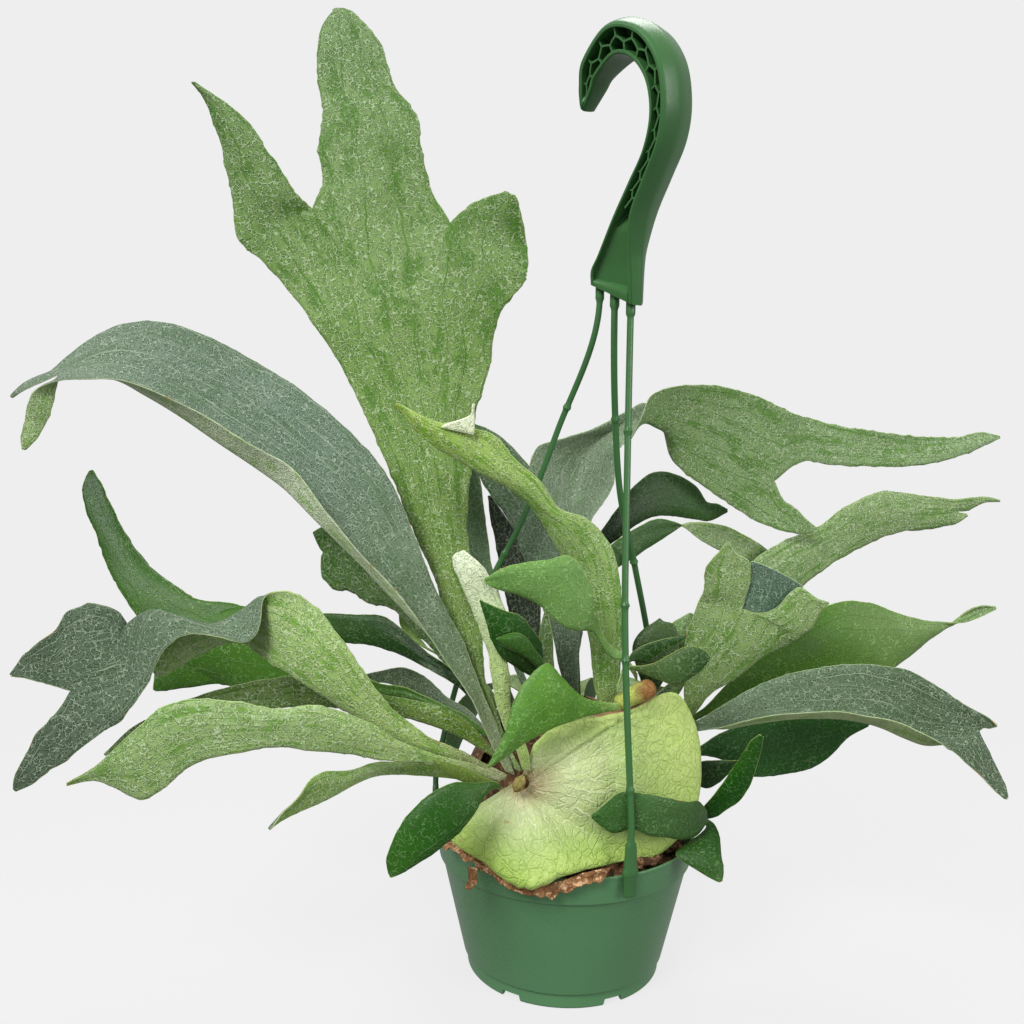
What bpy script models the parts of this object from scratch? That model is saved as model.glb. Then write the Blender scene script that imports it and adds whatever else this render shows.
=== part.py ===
"""Staghorn fern (Platycerium) growing in a green plastic hanging pot.

The origin is the top of the hook's throat, where the rod that carries the pot
touches it, and +Z is up.  The pot's own drawing frame has its zero at the pot's
axis, level with the feet, with +X to the right, +Y to the back, all in mm.
"""
import math

import bmesh
import bpy
from mathutils import Matrix, Vector

MM = 0.001
SHARP_ANGLE = math.radians(35)
COLLECTION = "staghorn_fern"
CUTTERS = "staghorn_fern_cutters"

# Pot, in mm: a thin-walled six inch hanging pot.
POT_HEIGHT = 82.0
RIM_RADIUS = 76.0
FOOT_RADIUS = 56.0
WALL = 1.6
FLOOR_Z = 5.0
NOTCHES = 6

# Mound of bark and roots above the rim, as (radius, height), in mm.
MOUND = [(16, 151), (32, 145), (44, 134), (52, 120), (57, 105), (60, 92)]
MOUND_TOP = (0, 153)
SHIELD_CLEAR = 3.0

# A frond that starts away from the mound gets a stalk.  Its root is the nearest place
# on the mound, or its place here, as (x, y, z); those of None start at the crown, on
# the shield or on another frond, and have no stalk.
ROOT_CLEAR = 5.9
STALK_LEAST = 6.0
STALK_ROWS = 3
STALK_WIDTH = 4.0
ROOTS = {
    "frond_upright": None, "frond_arch_left": None, "frond_twisted_left": None, "frond_low_left": None,
    "frond_stub_left": None, "frond_front_left": None, "frond_front_centre": None, "frond_young": None,
    "frond_centre_flap": None, "frond_narrow_left": None, "frond_across_shield": None,
    "frond_yellow_edge": None,
    "frond_twisted_right": (21, 6, 157), "frond_mid_left": (24, -51, 176),
    "frond_dark_sibling": (36, -36, 179), "frond_small_front": (-17, -44, 150), "frond_small_dark": (-8, -36, 152),
    "frond_forked_right": None, "frond_pale_back": (44, 3, 147), "frond_small_left": (-40, -3, 152),
}

# Hanger, in mm.
HOOK_FOOT = Vector((24.0, -50.0, 378.0))
HOOK_TURN = math.radians(45.0)
HOOK_LEAN = math.radians(12.0)
HANG_S, HANG_H = 18.5, 119.0
WEB = 2.4
STRAND = 1.65

# Fronds, in mm.
BLADE = 1.2

# The fronds are laid out on a front elevation: x and z are read on the plane of
# the pot's axis as seen from EYE, and y slides the point along its sight line
# to its own depth, in front of the axis (negative) or behind it (positive).
EYE = Vector((-34.2, -578.4, 310.0))

COLOURS = {
    "under": (0.27, 0.42, 0.15, 1), "top": (0.05, 0.13, 0.07, 1), "green": (0.08, 0.22, 0.04, 1),
    "white": (0.78, 0.80, 0.55, 1), "shield": (0.50, 0.66, 0.22, 1), "dry": (0.32, 0.19, 0.11, 1),
    "plastic": (0.035, 0.13, 0.06, 1), "soil": (0.05, 0.03, 0.02, 1),
}

# A row is one line across a blade, from its left edge to its right edge as seen
# looking along its growth: (xa, za, xb, zb, y) or (xa, za, xb, zb, ya, yb), or
# three or four points of (x, z, y).  Rows run from the base to the tip.  A lobe
# is (first column, last column, rows) and continues the blade's last row.
FRONDS = [
    # name, face seen from the front, camber, columns, rows, lobes
    ("frond_upright", "under", 5, 4, [
        (-30, 114, -26, 113, -56), (-39, 130, -34, 128, -54), (-47, 150, -41, 148, -49),
        (-55, 170, -49, 168, -43), (-66, 195, -52, 190, -36), (-76, 220, -53, 213, -30),
        (-84, 236, -57, 235, -25), (-94, 262, -60, 262, -19), (-106, 292, -59, 295, -12),
        (-120, 322, -57, 322, -6), (-134, 350, -49, 348, -1), (-152, 377, -43, 380, 3),
        (-170, 399, -31, 396, 6),
        (-190, 417, 2, -150, 437, 8, -111, 436, 10, -72, 431, 10, -28, 405, 6)],
     [(0, 1, [(-195, 440, -160, 446, 3), (-199, 462, -171, 462, 0), (-203, 478, -180, 475, -3),
              (-208, 490, -190, 488, -6), (-213, 498, -201, 496, -8), (-218, 505.5, -215, 505, -10)]),
      (1, 3, [(-144, 452, -83, 450, 13), (-146, 470, -88, 468, 16), (-144, 492, -92, 490, 19),
              (-147, 508, -104, 506, 21), (-147, 524, -111, 525, 22), (-144, 538, -119, 538, 22),
              (-139, 546, -127, 545, 21)]),
      (3, 4, [(-61, 441, -29, 419, 9), (-51, 446, -31, 431, 6), (-42, 448, -34, 441, 3)])]),
    ("frond_arch_left", "top", 0, 4, [
        (-35.5, 113, -61, -33, 112, -60, -30.5, 111, -60), (-44, 129, -60, -41, 131, -58, -38, 132, -58),
        (-56, 156, -58, -53, 158, -54, -50, 160, -54), (-73, 181, -56, -69, 183, -50, -62, 190, -48),
        (-94, 211, -56, -93, 207, -47, -79, 222, -44), (-119, 239, -58, -118, 232, -46, -91, 252, -40),
        (-141, 263, -60, -145, 260, -44, -108, 288, -36), (-158, 287, -62, -164, 279, -44, -128, 311, -32),
        (-176, 298, -64, -182, 293, -44, -152, 331, -28), (-200, 312, -66, -203, 307, -44, -180, 349, -24),
        (-222, 325, -66, -226, 322, -44, -210, 364, -22), (-244, 334, -66, -247, 334, -44, -240, 372, -22),
        (-263, 338.5, -64, -265, 343, -42, -265, 369, -22), (-280, 340, -60, -282, 345, -42, -285, 357, -26),
        (-291, 340, -56, -296, 342, -46, -300, 345, -36)],
     [(0, 2, [(-306, 336, -297, 336, -53, -44), (-313, 326, -300.5, 322, -50, -48),
              (-316, 314, -305, 312, -48), (-318, 304, -311, 303, -50), (-317.5, 299, -315.5, 298.5, -51)]),
      (2, 4, [(-305, 337.5, -309, 341, -46, -38), (-314, 333.5, -316, 336.5, -47, -42),
              (-322.5, 328, -323.5, 329, -48)])]),
    ("frond_twisted_left", "under", 3, 4, [
        (-36, 107.5, -35, 110.5, -66), (-46, 111, -45, 115.5, -69), (-60, 116.5, -60, 124, -74),
        (-80, 122.5, -78, 131, -80), (-100, 131, -97, 144, -85), (-120, 142, -110, 157, -88),
        (-140, 154, -122, 174, -90), (-158, 165, -136, 194, -90), (-172, 174, -150, 210, -88),
        (-184, 181, -78, -174, 200, -88, -166, 218, -90),
        (-190, 186, -72, -182, 212, -84, -179, 214, -92), (-197, 187, -68, -190, 207, -82, -182, 196, -95),
        (-205, 185, -66, -199, 201, -82, -189, 188, -95), (-216, 180, -65, -212, 197, -82, -205, 189.5, -94),
        (-230, 171, -64, -228, 200.5, -82, -224, 190.5, -93),
        (-241, 166, -64, -244, 205, -81, -238, 181, -94), (-250, 180, -68, -258, 196, -80, -246, 162, -95),
        (-262, 203, -74, -264, 178, -84, -256, 148, -96), (-275, 209, -78, -276, 173, -88, -264, 139, -98),
        (-291, 205, -80, -292, 157, -92, -272, 134, -100)],
     [(0, 2, [(-300, 193, -301, 159.5, -84, -94), (-312, 184, -310, 162, -89, -96),
              (-322, 174, -319, 163.5, -94, -98), (-327, 167, -326, 165, -97)]),
      (2, 4, [(-299, 145, -283, 126, -98, -103), (-311, 132, -297, 115, -102, -106),
              (-320, 116, -309, 107, -106, -109), (-326, 104, -318, 99, -110), (-327, 98, -325, 96, -112)])]),
    ("frond_low_left", "under", 2, 2, [
        (-39, 106.5, -37.5, 109, -72), (-50, 110.5, -50, 114.5, -76), (-75, 116.5, -75, 121.5, -84),
        (-100, 118, -99, 130, -95), (-125, 121, -122, 143, -104), (-150, 123.5, -148, 150, -112),
        (-175, 125, -172, 148, -118), (-200, 121, -198, 152, -122), (-222, 113, -222, 152.5, -124),
        (-240, 98, -240, 147, -124), (-252, 92, -252, 135, -124), (-266, 99, -265, 124, -122),
        (-280, 103, -279, 111, -120), (-295, 100, -294, 101.5, -118)], []),
    ("frond_olive_left", "under", 2, 2, [
        (-41, 120, -44, 127, -52), (-54, 128, -57, 141, -54), (-68, 135, -70, 149, -56),
        (-90, 142.5, -88, 154, -58), (-115, 147, -112, 158, -60), (-140, 149, -137, 167, -60),
        (-160, 150, -158, 168, -60), (-180, 148, -180, 165, -60), (-200, 146, -200, 160, -61),
        (-222, 138, -222, 153, -62), (-243, 132, -242, 143, -63), (-260, 127, -258, 134, -64),
        (-272, 119, -271, 121, -65)], []),
    ("frond_far_left", "green", 3, 4, [
        (-47, 133, -47, 136, -42), (-60, 141, -60, 146, -40), (-75, 149, -75, 153, -36),
        (-95, 155, -95, 161.5, -30), (-113, 157, -113, 165, -24), (-133, 158, -131, 177, -18),
        (-155, 157, -151, 189, -10), (-178, 158, -172, 201, -2),
        (-205, 162, 6, -240, 189, 8, -192, 209, 8)],
     [(0, 2, [(-221, 160, -239, 176, 8), (-234, 158, -242, 168, 8), (-241, 157.5, -243, 160, 8)]),
      (2, 4, [(-252, 202, -217, 212, 14), (-262, 217, -229, 219, 20), (-270, 233, -246, 233, 28),
              (-276, 250, -258, 249, 35), (-282, 268, -267, 267, 42), (-282, 280, -273, 280, 47),
              (-279, 286, -276.5, 286, 50)])]),
    ("frond_behind_arch", "under", 2, 2, [
        (-62, 163, -58, 166, -22), (-75, 180, -69, 184, -18), (-90, 195, -84, 206, -12),
        (-103, 208, -97, 228, -6), (-118, 212, -112, 246, 0), (-130, 219, -128, 255, 5),
        (-138, 220.5, 7, -137, 238, 8, -141, 257.5, 8), (-143.5, 226, 8, -139, 241, 8, -149.5, 253, 9)], []),
    ("frond_dark_left", "green", 2, 2, [
        (-53, 151, -50, 154, -34), (-63, 162, -59, 166, -32), (-76, 171, -72, 176, -28),
        (-90, 178, -85, 185, -22), (-103, 183, -97, 196, -16), (-115, 187, -109, 204, -10),
        (-130, 188, -125, 204.5, -4), (-145, 190, -143, 205, 2), (-158, 193, -157, 202, 8),
        (-169, 197, -168.5, 199, 12)], []),
    ("frond_small_left", "green", 1, 2, [
        (-70, 178, -66, 179, 8), (-80, 184, -75, 182, 11), (-88, 189, -81, 184, 14),
        (-95, 194, -86, 190, 17), (-98.5, 200, -92, 198, 19), (-99, 205, -97, 205, 20)], []),
    ("frond_arching_back_left", "top", 2, 2, [
        (-51, 137, -49, 140, -24), (-61, 145, -58, 149, -18), (-74, 152, -70, 156, -8),
        (-87, 158, -82, 167, 2), (-100, 163.5, -96, 173.5, 12), (-113, 165, -109, 171, 22),
        (-124, 163, -122, 168, 30), (-136, 159, -135, 161, 36)], []),
    ("frond_stub_left", "green", 2, 2, [
        (-40, 102.5, -39, 105, -79), (-50, 104.5, -49, 109, -84), (-60, 106, -60, 114, -90),
        (-69, 110, -70, 117, -96), (-78, 117.5, -78, 118.5, -101)], []),
    ("frond_narrow_left", "under", 1, 2, [
        (-48, 104, -48, 106.5, -58), (-60, 107, -60, 112.5, -60), (-80, 109, -80, 116, -66),
        (-100, 110, -100, 117, -76), (-115, 108, -113, 116, -86), (-130, 100.5, -128, 111, -96),
        (-142, 94, -142, 110, -106), (-152, 89, -151, 105.5, -114), (-162, 83.5, -160, 94, -122),
        (-170, 79, -169, 85, -128), (-175, 75, -174.5, 76.5, -132)], []),
    ("frond_front_left", "green", 3, 2, [
        (-38, 102, -39, 104.5, -86), (-43, 102, -44, 106, -91), (-49, 96, -53, 105, -95),
        (-54, 87, -64, 105, -99), (-63, 75, -78, 99, -102), (-74, 65, -89, 89, -104),
        (-84, 57, -97, 79, -105), (-93, 52, -103, 66, -105), (-99, 49, -105.5, 56, -104),
        (-102, 48, -104.5, 49.5, -103)], []),
    ("frond_centre", "under", 3, 2, [
        (18, 155, 29, 155, -34), (15, 170, 30, 170, -32), (13, 190, 31, 190, -30),
        (8, 212, 30.5, 212, -30), (1, 230, 28.5, 232, -32), (-6, 243, 23, 248, -36),
        (-14, 256, 10, 262.5, -42), (-24, 270, -7, 269, -48), (-37, 281, -18, 284, -54),
        (-52, 288, -33, 297, -58), (-66, 296, -46, 310.5, -60), (-80, 304, -64, 315, -62),
        (-91, 314, -81, 318.5, -63), (-102, 327, -100, 327.5, -64)], []),
    ("frond_centre_flap", "white", 0, 1, [
        (-76, 315, -57, 311, -66), (-72, 317, -57, 315, -66.5), (-65, 319, -57, 319, -67),
        (-59, 322, -57, 323, -67.5), (-58, 328, -57, 328, -68)], []),
    ("frond_young", "white", 1.5, 2, [
        (-25.5, 114, -21.5, 114, -66), (-29, 125, -23, 126, -66), (-36, 138, -29.5, 139, -66),
        (-41, 152, -33, 152, -66), (-44.5, 170, -34, 170, -65), (-47, 185, -37, 188, -63),
        (-53, 200, -36, 205, -61.5), (-58, 213, -41, 217, -60.5), (-64, 226, -47, 229, -60),
        (-68, 235, -56, 239, -60), (-68, 238.5, -61, 243, -60)], []),
    ("frond_mid_left", "green", 2, 2, [
        (31.5, 181, 31.5, 184.5, -46), (27, 181.5, 28, 186.5, -47), (22, 186, 23.5, 190, -50),
        (14, 197, 17.5, 201, -55), (4, 198, 15, 213, -59), (-8, 204, 10, 228, -62),
        (-17, 212, 0, 241, -65), (-28, 217, -14, 238.5, -68), (-38, 220, -28, 236.5, -70),
        (-45, 223, -40, 233, -72), (-49.5, 225.5, -48.5, 227.5, -73)], []),
    ("frond_small_dark", "green", 2, 2, [
        (-14, 167, -10, 170, -49.2), (-23, 171, -14, 179, -57.2), (-31, 175.5, -16, 190, -63.2),
        (-40, 182, -22, 198, -69.2), (-46, 194, -29, 206, -72.2), (-49, 204, -38, 208.5, -73.7),
        (-52, 214, -50, 213.5, -74.7)], []),
    ("frond_small_front", "green", 1.5, 2, [
        (-15, 171, -11, 174.5, -56.5), (-22, 178.5, -17, 182.5, -65.5), (-28, 183, -22, 189, -71.5),
        (-34, 185.5, -28, 195, -75), (-39, 188, -36, 194.5, -77.5), (-42, 191, -41.5, 192.5, -78.5)], []),
    ("frond_front_centre", "green", 3, 2, [
        (30.5, 150.5, 30.5, 154.5, -58), (20, 149, 20, 155, -62), (8, 145.5, 9, 158, -68),
        (-2, 142, -3, 170, -74), (-12, 137, -12, 177.5, -78), (-21, 131.5, -24, 167, -81),
        (-30, 125, -32, 153, -84), (-38, 119.5, -37, 134, -86), (-46, 115, -45, 117, -88)], []),
    ("frond_back_strip", "top", 2, 2, [
        (-30, 172, -26, 172, -4), (-38, 190, -32, 190, 0), (-47, 210, -38, 209, 4),
        (-57, 232, -45, 231, 8), (-63, 250, -48, 249, 12), (-67, 270, -51, 269, 15),
        (-69, 290, -54, 289, 18), (-70, 305, -60, 305, 20), (-70, 318, -68, 318, 21)], []),
    ("frond_back_tall", "under", 3, 2, [
        (-36, 160, -33, 160, 14), (-42, 180, -38, 180, 20), (-52, 200, -46, 200, 27),
        (-64, 222, -56, 222, 36), (-78, 246, -64, 246, 48), (-92, 272, -66, 272, 60),
        (-102, 300, -70, 300, 74), (-108, 326, -78, 326, 88), (-108, 346, -90, 346, 98),
        (-103, 360, -99, 360, 104)], []),
    ("frond_back_centre", "top", 3, 2, [
        (1, 160, 6, 160, -8), (-5, 176, 6, 176, -6), (-9, 195, 6.5, 195, -4),
        (-15, 212, 6, 215, -2), (-23, 228, 2, 234, 0), (-28, 242, -5, 250, 0),
        (-34, 258, -12, 267, -2), (-45, 274, -20, 286, -5), (-53, 287, -31, 300, -8),
        (-58, 300, -43, 311, -12), (-60, 316, -57, 317, -16)], []),
    ("frond_back_olive", "under", 1, 2, [
        (-12, 168, -7.5, 168, -28), (-15, 180, -8.5, 180, -27), (-17, 195, -10, 196, -26),
        (-15, 205, -12, 206, -25), (-13.5, 211, -12.5, 211, -25)], []),
    ("frond_back_shadow", "top", 2, 2, [
        (-19, 170, -14, 170, 4), (-28, 190, -17, 189, 8), (-36, 212, -17, 212, 12),
        (-40, 234, -22, 234, 16), (-44, 252, -28, 252, 20), (-47, 266, -38, 264, 22),
        (-48, 275, -46.5, 275, 24)], []),
    ("frond_big_right", "top", 0, 2, [
        (2, 222, 6, 5, 222, 8, 8, 222, 6), (-5, 243, 6, 2, 243, 13, 9, 243, 5),
        (-14, 264, 7, -1, 262, 18, 12, 263, 5), (-24, 286, 8, 2, 281, 24, 23, 282, 5),
        (-20, 304, 10, 6, 296, 25, 25.5, 295, 5), (-4, 310.5, 14, 14, 308, 25, 26.5, 302, 5),
        (14, 316, 18, 24, 314, 24, 29, 305.5, 5), (30, 325, 22, 33, 317, 22, 33.5, 308, 6),
        (42, 331, 26, 41, 320, 20, 39, 320, 4), (50, 322, 34, 49, 317, 24, 44, 333.5, 12),
        (56, 302, 36, 58, 316, 28, 56, 340, 20), (64, 292.5, 36, 68, 316, 32, 70, 341.5, 28),
        (77, 283, 40, 83, 312, 37, 88, 340, 35), (91, 273.5, 44, 98, 306, 42, 105, 335.5, 42),
        (105, 265, 48, 117, 287, 48, 125, 326.5, 48)],
     [(0, 1, [(115, 261, 122, 277, 49), (127, 257, 131, 270, 49), (135, 257, 142.5, 260.5, 48)]),
      (1, 2, [(131, 298, 132, 324, 54), (150, 297, 150, 320, 60), (175, 296.5, 175, 316, 67),
              (200, 297.5, 200, 314, 73), (222, 302.5, 222, 314, 78), (237, 309, 237, 316.5, 81),
              (246, 313.5, 246, 315, 83)])]),
    ("frond_round_right", "green", 2, 2, [
        (10, 246, 15, 241, 20), (20, 259, 29, 253, 26), (28, 271, 38, 260, 32),
        (37, 283, 47, 265, 38), (49, 291, 57, 266, 44), (62, 289, 65, 265, 50),
        (73, 282, 73, 264, 55), (79, 274, 80, 263.5, 59), (85, 273, 85, 265, 62),
        (90, 270.5, 90, 268, 64)], []),
    ("frond_twisted_right", "green", 1, 2, [
        (14, 236, 19, 226, 0), (25, 249, 29, 236, 6), (37, 257.5, 38, 241.5, 12),
        (50, 263.5, 49, 249.5, 18), (59, 262.5, 58, 256, 23), (66, 259.5, 67, 261.5, 27, 29),
        (73, 254, 74, 262, 32), (80, 249.5, 84, 261.5, 39), (92, 244, 95, 258, 50),
        (106, 238, 108, 251, 60), (119, 240, 120, 243, 68)], []),
    ("frond_tapered_right", "under", 2, 2, [
        (80, 188, 84, 184, 34), (88, 204, 97, 194, 38), (96, 222, 112, 207, 44),
        (107, 240, 128, 219, 50), (123, 251.5, 141, 230, 57), (142, 260, 154, 241, 64),
        (160, 273, 171, 250, 71), (180, 282, 189, 258, 77), (202, 280, 207, 260.5, 83),
        (219, 278, 85, 223, 271, 85, 221, 263, 85)],
     [(0, 1, [(232, 279, 231, 272, 88), (241, 279.5, 240, 276.5, 90), (248, 278, 247.5, 277, 92)]),
      (1, 2, [(226, 270, 226, 265.5, 86), (229.5, 269.5, 229, 268, 86.5)])]),
    ("frond_forked_right", "under", 3, 4, [
        (68, 150, 74, 148, 0), (69, 162, 83, 160, -2), (68, 180, 99, 171, -4),
        (69, 193, 113, 183, -6), (72, 205, 129, 191, -7),
        (76, 217, -8, 89, 215, -9, 102, 212, -10, 123, 207, -10, 143, 202, -10)],
     [(0, 2, [(79, 228, 103, 223, -10), (80.5, 236, 106, 234, -13), (85.5, 242.5, 99, 243, -16),
              (91, 250, 93, 250.5, -20)]),
      (2, 4, [(113, 210.5, 148, 209, -11), (126, 218.5, 151, 213, -12), (138, 224, 152, 215.5, -13),
              (147, 218, 154, 214.5, -14)])]),
    ("frond_broad_right", "green", 3, 2, [
        (80, 152, 83, 149, 8), (93, 166, 99, 155, 12), (112, 182, 122, 162, 17),
        (133, 202, 144, 170, 22), (154, 215.5, 165, 175, 28), (175, 216.5, 187, 177, 34),
        (195, 209.5, 201, 186, 40), (208, 206.5, 211, 194.5, 44), (218, 206, 219, 201, 48),
        (224, 206, 224, 205, 47, 52), (232, 206.5, 232, 212.5, 52), (241, 210, 241, 216, 56),
        (249, 214, 248.5, 215.5, 60)], []),
    ("frond_arch_right", "top", 0, 2, [
        (78, 145, -14, 78, 142, -13, 79, 139.5, -15), (90, 153, -14, 92, 141, -14, 91, 141.5, -20),
        (110, 165, -12, 110, 145, -16, 110, 146.5, -26), (130, 173.5, -12, 130, 149, -18, 130, 150, -31),
        (150, 178, -12, 150, 150, -20, 150, 151, -35), (170, 180, -13, 170, 149, -23, 170, 150, -39),
        (188, 179, -16, 186, 145, -26, 184, 148, -43), (203, 175.5, -20, 200, 139, -30, 198, 144, -47),
        (217, 168, -26, 213, 135, -35, 212, 138, -51), (232, 158, -34, 243, 142, -46, 227, 130, -56)],
     [(0, 1, [(241, 153, 245.5, 143.7, -40, -47), (249, 149, 250, 143.6, -46, -49),
              (253, 145.5, 252.5, 144.3, -50)]),
      (1, 2, [(250, 129, 238, 121, -52, -60), (257, 116, 248, 112, -58, -64),
              (261, 107, 256, 104.5, -65, -68), (262, 102.5, 260.5, 101, -70)])]),
    ("frond_dark_right", "green", 3, 2, [
        (76, 128, 77, 124, 14), (90, 137, 92, 122, 16), (105, 144, 108, 113, 17),
        (125, 147, 128, 113, 17), (145, 148, 145, 118, 16), (160, 147, 156, 126, 15),
        (170, 146, 166, 137, 13), (178, 145, 176, 143, 12)], []),
    ("frond_under_right", "green", 1, 2, [
        (73, 117, 75, 108, 6), (80, 120, 83, 104.5, 6), (90, 121, 91, 108, 5),
        (98, 121, 97, 114, 4), (104, 122, 103, 120, 4)], []),
    ("frond_pointed_right", "green", 2, 2, [
        (80, 90, 81, 86, -8), (84, 95, 88, 87, -14), (89, 101, 95, 92, -20),
        (95, 110, 103, 97, -26), (100.5, 119, 109, 106, -31), (106, 128, 112.5, 118, -36),
        (110, 134, 115, 128, -40), (113.5, 137, 116, 135.5, -43)], []),
    ("frond_drooping_right", "green", 2, 2, [
        (87, 83.5, 83.5, 83, -26), (90.5, 79, 82, 78, -36), (92.5, 70.5, 73, 70.5, -46),
        (94, 62, 67, 63.5, -54), (95, 56, 76, 56.5, -58), (95, 51, 86, 50.5, -60),
        (94.5, 48.5, 92, 47.5, -62)], []),
    ("frond_across_shield", "green", 1, 2, [
        (84, 83, 84, 91, -40), (79, 76, 79, 96, -47), (70, 73.5, 71, 96, -56),
        (60, 74.3, 60, 98, -62), (50, 75.5, 50, 100, -66), (40, 79, 40, 101, -67.5),
        (30, 76.3, 31, 100, -69), (22, 80, 23, 93, -71), (17, 84.5, 17, 88, -72)], []),
    ("frond_yellow_edge", "green", 2, 2, [
        (36.5, 177, 36.5, 175.5, -46), (43, 177, 43, 173.5, -47), (50, 178.5, 52, 170, -49),
        (58, 183, 60, 167, -51), (67, 188, 66, 167, -53), (75, 188.8, 73, 171, -54),
        (81, 186, 78.5, 175.5, -55), (82.5, 183.5, 81.5, 180, -56)], []),
    ("frond_dark_sibling", "green", 2, 2, [
        (36.5, 183, 36.5, 179.5, -34), (44, 189, 46, 179.5, -34), (54, 192.5, 54, 186, -34),
        (62, 194.2, 62, 190, -34), (68, 195.5, 68, 194, -34)], []),
    ("frond_low_back", "green", 2, 2, [
        (44, 164, 54, 165, -12), (40, 178, 62, 180, -12), (38, 190, 64, 193, -11),
        (44, 199, 61, 202.5, -9), (52, 204.5, 55, 204.5, -7)], []),
    ("frond_pale_back", "under", 2, 2, [
        (62, 166, 68, 166, 2), (57, 180, 71, 181, 2), (56, 193, 74, 194, 3),
        (60, 202, 75, 202.5, 4), (68, 207.5, 73, 208, 5)], []),
]


# The fronds behind the root ball, in the pot's own drawing frame.
BACK_FRONDS = [
    ("frond_back_middle", "green", 4, 2, [
        (12, 142, 6, 142, 44), (15, 150, 5, 150, 56), (20, 151, 1, 151, 76), (25, 139, -3, 139, 102),
        (26, 116, -3, 116, 126), (20, 90, 2, 90, 142), (12, 66, 8, 66, 150)], []),
    ("frond_back_right", "green", 4, 2, [
        (30, 145, 25, 148, 34, 38), (46, 151, 36, 153, 52, 60), (68, 144, 52, 147, 82, 94),
        (88, 127, 68, 130, 110, 126), (100, 103, 80, 105, 132, 146), (104, 80, 92, 81, 148, 156),
        (103, 62, 99, 62, 160, 162)], []),
    ("frond_back_left", "green", 4, 2, [
        (-12, 144, -18, 141, 48, 44), (-22, 151, -32, 149, 62, 54), (-34, 148, -50, 144, 92, 80),
        (-48, 131, -67, 127, 120, 106), (-58, 106, -78, 103, 140, 126), (-68, 84, -80, 82, 152, 145),
        (-75, 66, -79, 66, 160, 158)], []),
    ("frond_back_low", "under", 3, 2, [
        (-4, 127, -8, 127, 56), (-2, 132, -10, 132, 66), (1, 126, -14, 126, 88),
        (2, 106, -18, 106, 112), (-1, 76, -17, 76, 130), (-5, 50, -12, 50, 140), (-8, 36, -10, 36, 143)], []),
]


# ---------------------------------------------------------------- geometry helpers

def seen(x, z, y):
    """Point at depth y on the sight line through (x, z) of the front elevation."""
    reach = (y - EYE.y) / -EYE.y
    return Vector((EYE.x + (x - EYE.x) * reach, y, EYE.z + (z - EYE.z) * reach))


def hook_point(s, h, t=0.0):
    """Point by the hook's own axes: s across it, h up it, t through its depth."""
    across_hook = Vector((math.cos(HOOK_TURN), -math.sin(HOOK_TURN), 0))
    facing = Vector((-math.sin(HOOK_TURN), -math.cos(HOOK_TURN), 0))
    up = Vector((0, 0, 1)) * math.cos(HOOK_LEAN) + facing * math.sin(HOOK_LEAN)
    return HOOK_FOOT + across_hook * s + up * h + across_hook.cross(up) * t


ORIGIN = hook_point(HANG_S, HANG_H)


def metres(p):
    """Drawing point in mm to the part's frame in metres."""
    return (Vector(p) - ORIGIN) * MM


def plain(x, z, y):
    """Point given by its own place, for the fronds behind the pot."""
    return Vector((x, y, z))


def row_points(row, place):
    """The points of one row, in mm.  A row of vectors is in true places already."""
    if isinstance(row, list):
        return row
    if len(row) == 5:
        xa, za, xb, zb, y = row
        return [place(xa, za, y), place(xb, zb, y)]
    if len(row) == 6:
        xa, za, xb, zb, ya, yb = row
        return [place(xa, za, ya), place(xb, zb, yb)]
    return [place(*row[i:i + 3]) for i in range(0, len(row), 3)]


def hermite(points, knots, t):
    """Smooth curve through the points at their knots, read at t."""
    i = max(k for k in range(len(knots) - 1) if k == 0 or knots[k] <= t)

    def slope(k):
        a, b = max(k - 1, 0), min(k + 1, len(points) - 1)
        return (points[b] - points[a]) / (knots[b] - knots[a])

    h = knots[i + 1] - knots[i]
    u = (t - knots[i]) / h
    m0, m1 = slope(i) * h, slope(i + 1) * h
    return (points[i] * (1 + 2 * u) * (1 - u) ** 2 + m0 * u * (1 - u) ** 2
            + points[i + 1] * u * u * (3 - 2 * u) + m1 * u * u * (u - 1))


def across(row, place, cols, camber, along):
    """One row spread over cols + 1 points; a row of two points is bowed to its front."""
    pts = row_points(row, place)
    knots = [k / (len(pts) - 1) for k in range(len(pts))]
    width = (pts[-1] - pts[0]).length
    bow = (pts[1] - pts[0]).cross(along).normalized() * camber * min(1.0, width / 25.0)
    out = []
    for c in range(cols + 1):
        t = c / cols
        if len(pts) == 2:
            out.append(pts[0].lerp(pts[1], t) + bow * 4 * t * (1 - t))
        else:
            out.append(hermite(pts, knots, t))
    return out


def middle(points):
    return sum(points, Vector()) / len(points)


def mound_root(aim):
    """Nearest point to aim that is just clear of the mound and its shield fronds."""
    flat = Vector((math.hypot(aim.x, aim.y), aim.z))
    profile = [Vector(p) for p in [MOUND_TOP, *MOUND]]
    best = None
    for a, b in zip(profile, profile[1:]):
        t = min(1.0, max(0.0, (flat - a).dot(b - a) / (b - a).length_squared))
        q = a.lerp(b, t)
        if best is None or (flat - q).length < (flat - best).length:
            best = q
    best = best + (flat - best).normalized() * ROOT_CLEAR
    turn = math.atan2(aim.y, aim.x)
    return Vector((best.x * math.cos(turn), best.x * math.sin(turn), best.y))


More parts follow.
